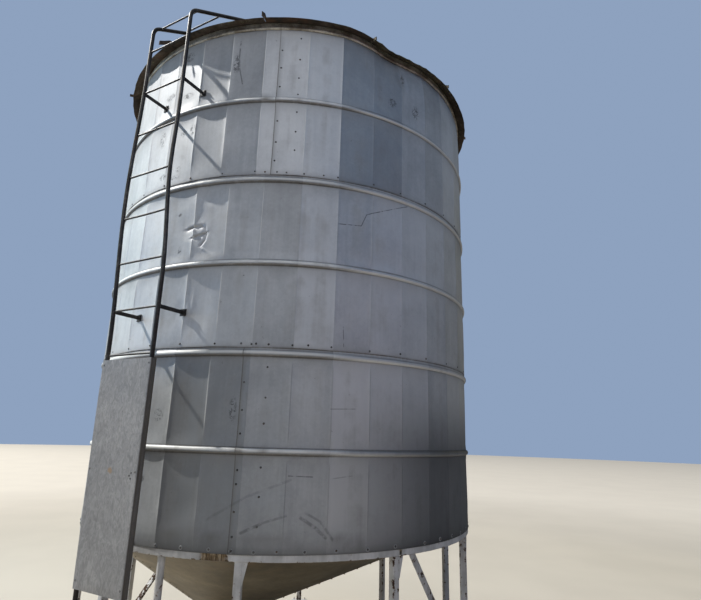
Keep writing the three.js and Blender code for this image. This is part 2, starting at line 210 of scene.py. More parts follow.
def smooth(value, low, high):
    share = np.clip((value - low) / (high - low), 0.0, 1.0)
    return share * share * (3 - 2 * share)


class Shape:
    def __init__(self):
        self.points = []
        self.faces = []
        self.notes = []

    def add(self, points, faces):
        first = len(self.points)
        self.points += [tuple(point) for point in points]
        self.faces += [[first + corner for corner in face] for face in faces]
        return self

    # equal loops of points, joined into a closed tube or a closed ring
    def loft(self, loops, ring=False):
        count = len(loops[0])
        spans = len(loops) if ring else len(loops) - 1
        faces = []
        for step in range(spans):
            here, there = step * count, (step + 1) % len(loops) * count
            faces += [[here + k, here + (k + 1) % count, there + (k + 1) % count, there + k]
                      for k in range(count)]
        if not ring:
            faces += [list(range(count))[::-1], [spans * count + k for k in range(count)]]
        return self.add([point for loop in loops for point in loop], faces)

    # a ring of one profile of radii and heights, carried round a centre
    def swept(self, profile, pitch, centre=Vector()):
        turns = np.arange(0, 360, pitch)
        return self.loft([[centre + at(turn, *corner) for corner in profile] for turn in turns], ring=True)

    # a sheet of even thickness laid under a grid of points
    def sheet(self, grid, thickness):
        rows, columns = grid.shape[:2]
        normal = np.cross(np.gradient(grid, axis=1), np.gradient(grid, axis=0))
        normal /= np.linalg.norm(normal, axis=-1, keepdims=True)
        under = grid - normal * thickness
        count = rows * columns
        index = np.arange(count).reshape(rows, columns)
        over = np.stack([index[:-1, :-1], index[:-1, 1:], index[1:, 1:], index[1:, :-1]], -1).reshape(-1, 4)
        rim = np.array([*index[0, :], *index[1:, -1], *index[-1, -2::-1], *index[-2:0:-1, 0]])
        after = np.roll(rim, -1)
        edge = np.stack([after, rim, rim + count, after + count], -1)
        points = np.concatenate([grid.reshape(-1, 3), under.reshape(-1, 3)])
        faces = np.concatenate([over, over[:, ::-1] + count, edge])
        return self.add(points.tolist(), faces.tolist())

    # a round bar along a path, of one radius or of one for each point
    def pipe(self, path, radius, sides):
        path = [Vector(point) for point in path]
        loops, across = [], None
        for step, point in enumerate(path):
            before, after = path[max(step - 1, 0)], path[min(step + 1, len(path) - 1)]
            along = ((point - before).normalized() + (after - point).normalized()).normalized()
            if across is None:
                across = along.orthogonal().normalized()
            across = (across - along * across.dot(along)).normalized()
            other = along.cross(across)
            reach = radius[step] if isinstance(radius, list) else radius
            loops.append([point + across * reach * math.cos(turn) + other * reach * math.sin(turn)
                          for turn in circle(sides)])
        return self.loft(loops)

    # a lathe of [radius, distance] pairs about an axis that starts at a point
    def turned(self, place, axis, profile, sides, spin=0.0):
        axis, across, other = crossed(axis)
        turns = [spin + 2 * math.pi * k / sides for k in range(sides)]
        loops = [[place + axis * far + (across * math.cos(turn) + other * math.sin(turn)) * reach
                  for turn in turns] for reach, far in profile]
        return self.loft(loops)

    def rivet(self, place, axis, radius=0.0065, height=0.0036):
        profile = [(radius * 1.05, -0.0006), (radius, height * 0.3), (radius * 0.8, height * 0.75),
                   (radius * 0.4, height * 0.97), (radius * 0.08, height)]
        return self.turned(place, axis, profile, 10)

    def bolt(self, place, axis, radius, spin=0.0):
        washer = [(radius * 1.6, -0.001), (radius * 1.6, 0.0016), (radius * 1.5, 0.0022), (0.002, 0.0022)]
        head = [(radius, 0.0018), (radius, 0.0072), (radius * 0.86, 0.0086), (radius * 0.2, 0.0092)]
        self.turned(place, axis, washer, 18)
        return self.turned(place, axis, head, 6, spin)

    # a bead of weld round a bar, with its ripples
    def weld(self, place, axis, radius, thick=0.004, sides=18):
        axis, across, other = crossed(axis)
        loops = []
        for k in range(sides):
            turn = 2 * math.pi * k / sides
            out = across * math.cos(turn) + other * math.sin(turn)
            fat = thick * (1.0 + 0.22 * math.sin(k * 2.4))
            loops.append([place + out * (radius + fat * 0.9 * math.cos(a)) + axis * fat * math.sin(a)
                          for a in circle(7)])
        return self.loft(loops, ring=True)

    # a straight rippled bead of weld
    def weldLine(self, start, end, thick=0.0032):
        count = max(4, int((end - start).length / 0.0045))
        path = [start.lerp(end, k / count) for k in range(count + 1)]
        radii = [thick * (0.55 if k in (0, count) else 1.0 + 0.2 * (k % 2)) for k in range(count + 1)]
        return self.pipe(path, radii, 7)

    # a box with rounded edges: centre, three axes, three sizes
    def block(self, centre, axes, sizes, edge):
        mesh = bmesh.new()
        bmesh.ops.create_cube(mesh, size=1.0)
        for corner in mesh.verts:
            corner.co = Vector([c * s for c, s in zip(corner.co, sizes)])
        bmesh.ops.bevel(mesh, geom=mesh.edges[:], offset=edge, segments=2, profile=0.6, affect="EDGES")
        u, v, w = [Vector(axis).normalized() for axis in axes]
        points = [centre + u * corner.co.x + v * corner.co.y + w * corner.co.z for corner in mesh.verts]
        mesh.verts.index_update()
        faces = [[corner.index for corner in face.verts] for face in mesh.faces]
        mesh.free()
        return self.add(points, faces)

    # points that have no notes yet are worn evenly
    def wornEvenly(self, wear=0.4):
        self.notes += [(wear, 0, 0, 1)] * (len(self.points) - len(self.notes))

    def piece(self, name, finish, slot, replaces=None, sharp=40):
        mesh = bpy.data.meshes.new(name)
        mesh.from_pydata(self.points, [], self.faces)
        mesh.validate()
        if len(self.notes):
            colours = mesh.color_attributes.new("wear", "FLOAT_COLOR", "POINT")
            colours.data.foreach_set("color", np.asarray(self.notes, np.float32).ravel())
        shaping = bmesh.new()
        shaping.from_mesh(mesh)
        bmesh.ops.recalc_face_normals(shaping, faces=shaping.faces[:])
        shaping.to_mesh(mesh)
        shaping.free()
        mesh.shade_smooth()
        mesh.set_sharp_from_angle(angle=math.radians(sharp))
        made = bpy.data.objects.new(name, mesh)
        bpy.context.scene.collection.objects.link(made)
        mesh.materials.append(finish)
        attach(made, "root")
        if replaces:
            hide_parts(replaces)


zinc = {
    "tones": ((0.0, (0.290, 0.298, 0.305)), (0.5, (0.460, 0.468, 0.475)), (1.0, (0.660, 0.665, 0.665))),
    # brown of dirt, also used for the painted shade under the ribs
    "dirtAndShade": (0.115, 0.092, 0.062),
    # dark of scuffs, also used for painted dark fold lines and the painted shade on the guard's right return
    "scuffAndShade": (0.060, 0.060, 0.062),
    # cream of the painted sheen along folds and ribs
    "sheenAndDark": (0.850, 0.835, 0.780),
    "rust": (0.330, 0.225, 0.130),
    # marks: azimuth and height of each end, width in metres, darkness
    "marks": [
        ((9.9, 3.039), (16.0, 3.052), 0.004, 0.8),
        ((16.0, 3.052), (17.4, 3.139), 0.004, 0.7),
        ((17.4, 3.139), (22.7, 3.200), 0.004, 0.8),
        ((22.7, 3.200), (30.3, 3.285), 0.004, 0.7),
        ((-18.9, 4.416), (-19.0, 4.180), 0.007, 0.6),
        ((-18.6, 4.190), (-17.4, 4.060), 0.006, 0.5),
        ((12.0, 2.354), (12.2, 2.228), 0.004, 0.5),
        ((0.8, 1.466), (6.1, 1.462), 0.004, 0.6),
        ((10.1, 1.452), (15.3, 1.469), 0.004, 0.3),
        ((9.6, 1.848), (15.6, 1.855), 0.004, 0.4),
        ((-8.6, 1.161), (-4.1, 1.215), 0.011, 0.40),
        ((-4.1, 1.215), (0.7, 1.253), 0.009, 0.30),
        ((3.9, 1.243), (7.2, 1.191), 0.012, 0.40),
        ((7.2, 1.191), (9.5, 1.138), 0.012, 0.45),
        ((4.9, 1.270), (8.3, 1.222), 0.009, 0.30),
        ((8.3, 1.222), (11.1, 1.126), 0.010, 0.35),
        ((-16.5, 1.219), (-8.1, 1.348), 0.010, 0.18),
        ((-8.1, 1.348), (1.3, 1.444), 0.010, 0.18),
    ],
    # smudges: azimuth, height, and half sizes in metres along and up
    "smudges": [
        (-43.2, 3.768, 0.045, 0.085), (-31.2, 3.756, 0.035, 0.055), (-34.8, 3.750, 0.030, 0.040),
        (-34.6, 4.060, 0.060, 0.030), (-42.0, 4.113, 0.080, 0.040), (-34.9, 3.464, 0.030, 0.030),
        (-35.7, 3.407, 0.045, 0.025), (-40.8, 3.440, 0.050, 0.030), (-35.8, 4.398, 0.060, 0.050),
        (-31.1, 2.841, 0.020, 0.050), (-32.9, 3.113, 0.035, 0.020), (-31.9, 1.788, 0.050, 0.050),
        (25.0, 4.079, 0.045, 0.050), (33.8, 4.086, 0.055, 0.070), (-34.8, 1.418, 0.025, 0.030),
        (-12.6, 1.830, 0.030, 0.090), (-19.5, 4.230, 0.035, 0.100), (29.0, 4.330, 0.030, 0.070),
    ],
    "smudged": 0.72,
    "rustAt": at(-36.0, 1.7038, 1.470, 0.012),  # the guard's spot of rust
}


def markLines(f, azimuth):
    total = None
    for (startTurn, startHeight), (endTurn, endHeight), width, depth in zinc["marks"]:
        run, lift = (endTurn - startTurn) * metresPerDegree, endHeight - startHeight
        length = run * run + lift * lift
        u = azimuth * metresPerDegree - startTurn * metresPerDegree
        v = f.z - startHeight
        share = f.node("Math", {"operation": "ADD", "use_clamp": True},
                       {0: u * (run / length), 1: v * (lift / length)})
        du = u - share * run
        dv = v - share * lift
        near = f.sum("SQRT", du * du + dv * dv)
        total = f.larger(total, (1.0 - f.rise(near, width * 0.3, width * 1.1)) * depth)
    return total


def smudgeSpots(f, azimuth):
    total = None
    for turn, height, wide, tall in zinc["smudges"]:
        u = (azimuth - turn) * (metresPerDegree / wide)
        v = (f.z - height) * (1.0 / tall)
        total = f.larger(total, 1.0 - f.sum("SQRT", u * u + v * v))
    return f.rise(total, 0.0, 0.55) * f.rise(f.noise(42.0, 5.0, 0.75, 1.1), 0.45, 0.58)


# weathered galvanising; the guard's is mottled, with a spot of rust
def galvanising(name, marks=False, notes=False, mottled=False, shade=1.0, warm=0.0):
    f = Finish(name, IOR=1.6, Coat_Weight=0.15, Coat_Roughness=0.35, Coat_IOR=1.9)
    cloud = f.noise(1.6, 4.0, 0.6, 0.4)
    patch = f.noise(7.0, 5.0, 0.65)
    streak = f.streaks((9.0, 9.0, 0.55))
    thread = f.streaks((46.0, 46.0, 1.3), 3.0)
    grain = f.noise(240.0, 2.0, 0.6)
    spangle = f.spangle(62.0)
    tone = cloud * 0.75 + patch * 0.34 + streak * 0.42 + thread * 0.16 + spangle * 0.07 + grain * 0.09
    if notes:
        dirtinessAndShade, facet, sheenAndDark, paintedShading = f.notes()
        tone = tone + (facet - 0.5) * 0.30
    colour = f.ramp(f.rise(tone, 0.42, 1.34), zinc["tones"])
    specks = f.rise(f.noise(38.0, 2.0, 0.7), 0.70, 0.78) * f.rise(patch, 0.45, 0.62)
    colour = f.mix(specks * 0.55, colour, zinc["scuffAndShade"])
    dirtAndShade = f.rise(streak + patch * 0.7, 0.82, 1.20) * 0.30
    rough = 0.57 + patch * 0.12 + spangle * 0.04
    if notes:
        stained = dirtinessAndShade * f.rise(thread + streak, 0.55, 1.15)
        # the notes' dirt also holds painted shade under the ribs
        dirtAndShade = f.larger(dirtAndShade, dirtinessAndShade * 0.45 + stained * 0.5)
        # painted sheen: where the notes say so, the colour is lifted to a pale cream along folds and ribs
        paintedSheen = f.rise(sheenAndDark, 0.55, 1.0)
        colour = f.mix(paintedSheen * 0.82, colour, zinc["sheenAndDark"])
        # painted shade along dark fold lines and on the guard's right return, and the dark lapped seams, from
        # notes below a half
        colour = f.mix(f.rise(sheenAndDark, 0.45, 0.0) * 0.45, colour, zinc["scuffAndShade"])
    colour = f.mix(dirtAndShade, colour, zinc["dirtAndShade"])
    if marks:
        azimuth = f.sum("ARCTAN2", f.x, -f.y) * (180.0 / math.pi)
        line = markLines(f, azimuth) * f.rise(f.noise(30.0, 2.0, 0.6), 0.28, 0.55)
        line = f.larger(line, smudgeSpots(f, azimuth) * zinc["smudged"])
        colour = f.mix(line, colour, zinc["scuffAndShade"])
        rough = rough + line * 0.2
    if shade != 1.0:
        colour = f.mix(1.0, colour, (shade * (1 + warm), shade, shade * (1 - warm)), "MULTIPLY")
    if mottled:
        mottle = f.streaks((34.0, 34.0, 17.0), 6.0, 0.75, 1.6)
        colour = f.mix(f.rise(mottle, 0.36, 0.64) * 0.40, colour, zinc["scuffAndShade"])
        far = f.node("VectorMath", {"operation": "DISTANCE"}, {0: f.place, 1: zinc["rustAt"]}, 1)
        spot = f.rise(far + f.noise(60.0, 3.0, 0.6) * 0.030, 0.038, 0.026)
        colour = f.mix(spot * 0.8, colour, zinc["rust"])
    metal = 0.55 - dirtAndShade * 0.40
    if notes:
        # painted shading: the notes darken the colour, most low down at the wall's right and in lines along
        # the ribs
        colour = f.mix(1.0 - paintedShading, colour, (0.0, 0.0, 0.0))
        metal = metal - paintedSheen * 0.25
    height = spangle * 0.10 + grain * 0.5 + patch * 0.9
    return f.ends(Base_Color=colour, Roughness=rough + dirtAndShade * 0.3, Metallic=metal,
                  Normal=f.bump(height, 0.10, 0.004))


roofColours = {
    "tones": ((0.0, (0.020, 0.015, 0.011)), (0.35, (0.050, 0.036, 0.025)),
              (0.65, (0.105, 0.078, 0.054)), (1.0, (0.210, 0.190, 0.160))),
    "rust": (0.120, 0.050, 0.020),
    "lichen": ((0.35, (0.150, 0.150, 0.050)), (0.65, (0.330, 0.320, 0.170))),
}


def rustedSheet(name):
    f = Finish(name, IOR=1.5)
    patch = f.noise(3.2, 5.0, 0.62, 0.3)
    fleck = f.noise(34.0, 4.0, 0.65)
    fine = f.noise(150.0, 3.0, 0.6)
    run = f.streaks((7.0, 7.0, 7.0), warp=1.2)
    tone = f.rise(patch * 0.7 + fleck * 0.3 + run * 0.3, 0.38, 0.92)
    rust = f.rise(f.noise(5.5, 4.0, 0.6), 0.52, 0.70)
    colour = f.mix(rust * 0.6, f.ramp(tone, roofColours["tones"]), roofColours["rust"])
    lichen = f.rise(f.noise(24.0, 3.0, 0.7, 0.5), 0.60, 0.67) * f.rise(patch, 0.40, 0.60)
    pushed = f.rise(f.x, 0.35, 0.62) * f.rise(-f.y, 0.75, 1.10)
    crust = f.rise(f.noise(85.0, 4.0, 0.7, 0.8), 0.50, 0.58) * pushed
    lichen = f.larger(lichen, crust * 0.85)
    colour = f.mix(lichen * 0.8, colour, f.ramp(fine, roofColours["lichen"]))
    return f.ends(Base_Color=colour, Roughness=0.72 + fleck * 0.2 - tone * 0.12,
                  Metallic=0.25 - rust * 0.2 - lichen * 0.04,
                  Normal=f.bump(fleck + fine * 0.4 + lichen * 0.5, 0.35, 0.004))


paintColours = {
    "tones": ((0.0, (0.345, 0.338, 0.325)), (0.5, (0.490, 0.482, 0.470)), (1.0, (0.640, 0.628, 0.612))),
    "rust": ((0.30, (0.016, 0.011, 0.008)), (0.55, (0.060, 0.030, 0.016)), (0.80, (0.150, 0.068, 0.026))),
    "rotten": ((0.34, (0.030, 0.018, 0.010)), (0.48, (0.190, 0.130, 0.070)), (0.66, (0.420, 0.330, 0.215))),
    "halo": (0.250, 0.170, 0.095),
    "run": (0.300, 0.215, 0.130),
}


def chippedPaint(name):
    f = Finish(name, IOR=1.5)
    patch = f.noise(6.0, 4.0, 0.6)
    streak = f.streaks((26.0, 26.0, 2.2))
    chip = f.noise(26.0, 4.0, 0.62, 0.4)
    flake = f.noise(75.0, 3.0, 0.6)
    wear, rotten = f.notes()[:2]
    paint = f.ramp(f.rise(patch + streak * 0.5, 0.45, 1.05), paintColours["tones"])
    hurt = chip * 0.72 + flake * 0.26 + wear * 0.22 + f.rise(f.x, -0.1, 0.5) * 0.03 - 0.022
    bare = f.rise(hurt, 0.665, 0.690)
    halo = f.rise(hurt, 0.615, 0.680)
    colour = f.mix(halo * 0.55, paint, paintColours["halo"])
    run = f.rise(streak, 0.60, 0.78) * f.rise(patch, 0.42, 0.60)
    colour = f.mix(run * 0.38, colour, paintColours["run"])
    colour = f.mix(bare, colour, f.ramp(flake, paintColours["rust"]))
    thread = f.streaks((85.0, 85.0, 12.0), rough=0.7)
    colour = f.mix(rotten, colour, f.ramp(thread, paintColours["rotten"]))
    return f.ends(Base_Color=colour, Roughness=0.52 + bare * 0.3 + patch * 0.1, Metallic=bare * 0.3,
                  Normal=f.bump(1.0 - bare + flake * 0.3, 0.30, 0.0015))


# painted reflection: the cone's tan tones stand for warm ground reflected in its galvanised sheet; the stain
# near the top is its own
hopperColours = {
    "tones": ((0.0, (0.125, 0.100, 0.064)), (0.5, (0.215, 0.174, 0.112)), (1.0, (0.320, 0.264, 0.178))),
    "stain": (0.175, 0.085, 0.028),
}


def hopperSheet(name):
    f = Finish(name, IOR=1.5)
    cloud = f.noise(2.0, 4.0, 0.6, 0.5)
    patch = f.noise(9.0, 5.0, 0.65)
    streak = f.streaks((9.0, 9.0, 1.6))
    spangle = f.spangle(55.0)
    tone = f.rise(cloud * 0.8 + patch * 0.3 + streak * 0.4 + spangle * 0.06, 0.50, 1.15)
    stain = f.rise(patch + streak * 0.6, 0.78, 1.10) * f.rise(f.z, 0.80, 1.06)
    colour = f.mix(stain * 0.65, f.ramp(tone, hopperColours["tones"]), hopperColours["stain"])
    return f.ends(Base_Color=colour, Roughness=0.44 + patch * 0.2, Metallic=0.40 - stain * 0.3,
                  Normal=f.bump(patch + spangle * 0.15, 0.12, 0.004))


steelColours = {
    "tones": ((0.0, (0.022, 0.019, 0.017)), (0.55, (0.048, 0.043, 0.038)), (1.0, (0.120, 0.110, 0.098))),
    "rust": (0.090, 0.044, 0.022),
}


def darkSteel(name):
    f = Finish(name, IOR=1.5)
    patch = f.noise(9.0, 4.0, 0.6)
    fleck = f.noise(60.0, 4.0, 0.65)
    streak = f.streaks((40.0, 40.0, 3.0), 3.0)
    tone = f.rise(patch * 0.6 + fleck * 0.4 + streak * 0.3, 0.45, 0.90)
    rust = f.rise(f.noise(16.0, 4.0, 0.6), 0.58, 0.72)
    colour = f.mix(rust * 0.5, f.ramp(tone, steelColours["tones"]), steelColours["rust"])
    return f.ends(Base_Color=colour, Roughness=0.34 + fleck * 0.18 + rust * 0.2,
                  Metallic=0.55 - rust * 0.4, Normal=f.bump(fleck + patch * 0.5, 0.30, 0.002))


rivetColours = {
    "tones": ((0.35, (0.050, 0.046, 0.042)), (0.65, (0.160, 0.154, 0.146))),
    "rust": (0.130, 0.066, 0.030),
}


def rivetZinc(name):
    f = Finish(name, IOR=1.5)
    tone = f.noise(30.0, 2.0, 0.6)
    rust = f.rise(f.noise(11.0, 2.0, 0.5), 0.55, 0.68)
    colour = f.mix(rust * 0.6, f.ramp(tone, rivetColours["tones"]), rivetColours["rust"])
    return f.ends(Base_Color=colour, Roughness=0.48 + tone * 0.2, Metallic=0.6 - rust * 0.4)


beadTones = ((0.0, (0.250, 0.208, 0.148)), (0.5, (0.500, 0.450, 0.352)), (1.0, (0.690, 0.635, 0.520)))


def oldBead(name):
    f = Finish(name, IOR=1.5)
    patch = f.noise(9.0, 4.0, 0.6)
    fleck = f.noise(70.0, 3.0, 0.6)
    tone = f.rise(patch * 0.7 + fleck * 0.3, 0.36, 0.64)
    return f.ends(Base_Color=f.ramp(tone, beadTones), Roughness=0.50 + fleck * 0.2,
                  Metallic=0.35 + tone * 0.2, Normal=f.bump(fleck, 0.2, 0.002))


wallZinc = galvanising("wallZinc", marks=True, notes=True)
fittingZinc = galvanising("fittingZinc", shade=0.92, warm=0.015)
guardZinc = galvanising("guardZinc", notes=True, mottled=True, shade=0.80, warm=0.03)
washerZinc = galvanising("washerZinc", shade=0.58)
roofRust = rustedSheet("roofRust")
palePaint = chippedPaint("palePaint")
hopperReflectedTan = hopperSheet("hopperReflectedTan")
ladderSteel = darkSteel("ladderSteel")
rivetFinish = rivetZinc("rivetFinish")
rimFinish = oldBead("rimBead")
print("finishes made")


# Wall: three riveted courses of folded sheet with ribs pressed in
wall = {
    "radius": 1.500,
    "lap": 0.0033,          # how far each course stands outside the one below
    "sheet": 0.0026,
    "clear": 0.0003,        # air between lapped sheets
    "ribs": (1.596, 2.163, 2.738, 3.312, 3.915),
    "ribHalf": 0.0185,
    "ribProud": 0.0145,
    "ribShares": (0.0, 0.3, 0.55, 0.78, 0.92, 1.0, 1.15, 1.4, 2.1),     # rows over a rib, in its halves
    "hollow": (0.90, 1.28),             # strips between folds: 0 is round, 1 is flat, more is hollow
    "hollowMore": (-40, 22.5, 0.55),    # about which azimuth, how far to its sides, how much more
    "proud": 0.0014,        # how far the folds stand outside the round
    "tilt": 0.0010,         # how far one fold stands in or out of the others
    "wave": 0.0012,
    "crest": (0.0012, 0.0024),          # how far the crest of a fold stands out
    "crestTurn": 0.27,      # degrees over which the crest falls away
    "lapTurn": 1.2,         # degrees over which the lapped sheet comes back to the wall
    "edgeWave": 0.0016,
    "seed": 11,
    # how bright the painted highlight along each fold is: at random, less at the right, brightest about one
    # azimuth, and a painted dark line about one on the lower course
    "lines": {"range": (-0.7, 1), "right": (8, 0.5), "paintedSheen": (-23, 12, 1.15), "dark": (21, 27, -0.9)},
    "sheenFade": (1.62, 1.78),     # the brightest painted highlights fade out below this height
    # the lowest part is painted darker, most at the right, a painted shade standing for dark surroundings
    # reflected there, and along the foot it is darker towards the bottom: how much along the foot and between
    # the right azimuths, where it begins and ends, and the heights over which it fades
    "lowDarkening": {"foot": 0.55, "amount": 0.72, "right": (-4, 44, 88, 112), "height": (1.50, 2.12)},
    # where the ribs get a painted reflection, bright on their lower half, and less painted shade under them:
    # azimuths where that begins and ends
    "paintedReflectionSide": (4, 20, 80, 100),
    "foldColumns": (-0.75, -0.3, -0.16, -0.07, 0, 0.07, 0.16, 0.3, 0.75),   # degrees from each fold
    # columns and rows that are closer where the wall is dented: course, start, end, step. Rows are
    # for one half of the course each
    "moreColumns": {1: ((-31, -21, 0.5), (-29.4, -22.8, 0.11)), 2: ((20, 36, 0.7),)},
    "moreRows": {(1, 1): ((2.80, 3.06, 0.011), (2.845, 3.01, 0.0045)),
                 (2, 0): ((4.20, 4.49, 0.016),), (2, 1): ((4.20, 4.49, 0.016),)},
}


def evenly(start, pitch, count):
    return [start + pitch * k for k in range(count)]


# front facets set lighter or darker than the rest, partly the sheets' own tone and partly painted reflection:
# azimuth, tone
courses = [
    {"name": "lower", "bottom": 1.050, "top": 2.269, "ribs": (0, 1),
     "folds": evenly(0.3, 9.46, 20) + [-9.3] + evenly(-18.9, -9.46, 17),
     "seams": ((-11.1, -4.6), (170.0, 176.4)),
     "facets": {-42: 0.50, -33: 0.55, -24: -0.85, -14: -0.35, -4: 0.30, 5: 0.50, 14: 1.75,
                23: 1.80, 33: 1.60, 42: 0.80, 51: 1.30, 61: 1.20}},
    {"name": "middle", "bottom": 2.200, "top": 3.419, "ribs": (2, 3),
     "folds": evenly(0.3, 9.34, 20) + [-9.2, -18.1, -27.4] + evenly(-37.06, -9.34, 16),
     "seams": ((86.6, 92.6), (268.2, 274.2)),
     "facets": {-51: 0.90, -41: 1.00, -32: 0.10, -23: 0.75, -14: 0.70, -5: 0.20, 5: 1.30,
                14: 0.80, 23: 1.30, 33: 1.40, 42: 0.95, 51: 0.90}},
    {"name": "upper", "bottom": 3.349, "top": 4.492, "ribs": (4,),
     "folds": evenly(0.2, 9.34, 20) + evenly(-11.6, -9.34, 17),
     "seams": ((-7.9, -1.4), (170.4, 176.6)),
     "facets": {-53: 0.45, -44: 0.35, -35: 0.35, -25: 0.25, -16: 0.50, -9: 0.50, -4: 1.20,
                5: 1.15, 14: -0.50, 23: -0.50, 33: 0.45, 42: 0.15, 51: 0.90, 60: 1.00}},
]

# Dents: azimuth, height, half sizes in metres along and up, turn in degrees, depth, raised lip
dents = [
    (-25.6, 2.940, 0.062, 0.078, 10, 0.0030, 0.4),
    (-28.4, 3.030, 0.100, 0.130, 0, 0.0060, 0.0),
    (-25.4, 3.090, 0.080, 0.120, 0, 0.0025, 0.0),
    (-24.0, 3.250, 0.060, 0.085, 0, 0.0060, 0.0),
    (-19.8, 3.245, 0.050, 0.075, 0, -0.0045, 0.0),
    (-47.0, 2.470, 0.060, 0.060, 30, 0.0045, 0.3),
    (-28.8, 2.440, 0.055, 0.050, 0, 0.0060, 0.0),
    (28.6, 4.310, 0.060, 0.110, 18, 0.0080, 0.5),
    (-20.0, 1.290, 0.160, 0.100, 20, 0.0050, 0.0),
    (-4.0, 1.380, 0.220, 0.070, 10, 0.0040, 0.0),
]

# Creases in the middle course: points as azimuth and height, depth, and how far they reach in
# metres to the left or upper side of the line, and to the other side
creases = [
    (((-29.2, 3.001), (-27.2, 3.007), (-25.0, 3.012)), 0.0120, (0.0035, 0.0150)),
    (((-27.1, 2.937), (-25.7, 2.947), (-24.3, 2.958)), 0.0120, (0.0035, 0.0170)),
    (((-24.1, 2.992), (-23.7, 2.945), (-23.9, 2.905), (-24.9, 2.870)), 0.0100, (0.0060, 0.0080)),
    (((-27.35, 2.986), (-27.25, 2.952)), -0.0050, (0.0040, 0.0040)),
    (((-27.6, 2.424), (-26.6, 2.452), (-25.2, 2.500)), -0.0030, (0.0050, 0.0120)),
    (((-24.2, 2.846), (-21.4, 2.796)), -0.0032, (0.0060, 0.0060)),
]

# The push in the top rim at the right: azimuths with the depth and the drop at the rim
rimPush = {
    "turns": (2, 10, 14, 19, 23, 27, 31, 35, 40, 47, 55, 64, 74, 86),
    "depth": (0, 0.002, 0.012, 0.034, 0.055, 0.060, 0.052, 0.040, 0.031, 0.026, 0.023, 0.018, 0.008, 0),
    "drop": (0, 0.001, 0.003, 0.008, 0.013, 0.014, 0.012, 0.009, 0.007, 0.006, 0.005, 0.004, 0.002, 0),
    "reach": 0.26,
}


def turnBack(azimuth):
    return (np.asarray(azimuth, float) + 180.0) % 360.0 - 180.0


# how far the rim was pushed in, and how far it dropped
def rimMoves(azimuth):
    return [np.interp(turnBack(azimuth), rimPush["turns"], rimPush[word], left=0, right=0)
            for word in ("depth", "drop")]


# the roof's edge went in and down with the rim, less and less towards the middle
def roofMoves(azimuth, radius):
    return [move * smooth(radius, 1.06, 1.47) for move in rimMoves(azimuth)]


# which strip between folds an azimuth lies in
def stripAt(course, local):
    return np.searchsorted(course["folds"], local, side="right") - 1


# each strip between folds has a hollow, a tilt and a tone of its own
def layOutFolds(course, chance):
    def drawn(low, high):
        values = chance.uniform(low, high, len(folds))
        return np.concatenate([values[-3:], values, values[:3]])

    folds = np.sort(turnBack(course["folds"]))
    turns = np.concatenate([folds[-3:] - 360, folds, folds[:3] + 360])
    middle, reach, more = wall["hollowMore"]
    hollow = drawn(*wall["hollow"])
    course["folds"] = turns
    course["hollow"] = np.where(np.abs(turns - middle) < reach, hollow + more, hollow)
    course["out"] = drawn(-1, 1) * wall["tilt"]
    course["crest"] = drawn(*wall["crest"])
    lines = wall["lines"]
    line = drawn(*lines["range"])
    line = np.where(turns > lines["right"][0], line * lines["right"][1], line)
    for word in ("paintedSheen", "dark") if course["name"] == "lower" else ("paintedSheen",):
        middle, reach, value = lines[word]
        line = np.where(np.abs(turns - middle) < reach, value, line)
    course["line"] = line
    course["tone"] = drawn(0.2, 0.8)
    for azimuth, tone in course["facets"].items():
        course["tone"][stripAt(course, azimuth)] = tone
    course["waves"] = chance.uniform(0, 2 * math.pi, (6, 2))


seeded = np.random.default_rng(wall["seed"])
for course in courses:
    layOutFolds(course, seeded)


# the folds flatten out over the ribs and towards the edges of the sheet
def foldFade(course, height):
    fade = np.ones_like(height)
    for rib in course["ribs"]:
        fade = fade * smooth(np.abs(height - wall["ribs"][rib]), 0.016, 0.085)
    fade = fade * (0.22 + 0.78 * smooth(height - course["bottom"], 0.05, 0.17))
    return fade * (0.35 + 0.65 * smooth(course["top"] - height, 0.0, 0.07))


def ribRise(course, height):
    rise = np.zeros_like(height)
    for rib in course["ribs"]:
        reach = np.abs(height - wall["ribs"][rib]) / wall["ribHalf"]
        rise = np.maximum(rise, np.sqrt(np.clip(1 - reach ** 2, 0, 1)) * wall["ribProud"])
    return rise


def dentDepth(azimuth, height):
    total = np.zeros(azimuth.shape)
    for centre, middle, halfRun, halfLift, turn, depth, raised in dents:
        run = np.radians(turnBack(azimuth - centre)) * wall["radius"]
        lift = height - middle
        turn = math.radians(turn)
        u = (run * math.cos(turn) + lift * math.sin(turn)) / halfRun
        v = (lift * math.cos(turn) - run * math.sin(turn)) / halfLift
        v = v + raised * 0.55 * (1 - np.exp(-np.maximum(v, 0) * 2))
        far = np.sqrt(u * u + v * v)
        bowl = np.clip(1 - far ** 2, 0, 1) ** 1.25
        lip = np.exp(-((far - 1.12) / 0.16) ** 2) * 0.10 * raised
        total = total + depth * (bowl - lip)
    return total


def creaseDepth(azimuth, height):
    total = np.zeros(azimuth.shape)
    run = turnBack(azimuth) * metresPerDegree
    for line, depth, reaches in creases:
        nearest = np.full(total.shape, 9.0)
        side = np.zeros(total.shape)
        line = [(turn * metresPerDegree, high) for turn, high in line]
        for (startRun, startLift), (endRun, endLift) in zip(line, line[1:]):
            u, v = endRun - startRun, endLift - startLift
            share = np.clip(((run - startRun) * u + (height - startLift) * v) / (u * u + v * v), 0, 1)
            du, dv = run - startRun - share * u, height - startLift - share * v
            far = np.hypot(du, dv)
            side = np.where(far < nearest, u * dv - v * du, side)
            nearest = np.minimum(far, nearest)
        total = total + depth * np.exp(-(nearest / np.where(side > 0, *reaches)) ** 1.3)
    return total


# how far across its strip an azimuth lies, and the fold nearest to it
def placeInStrip(course, local, index):
    before, after = course["folds"][index], course["folds"][index + 1]
    share = (local - before) / (after - before)
    return share, np.where(share < 0.5, index, index + 1)


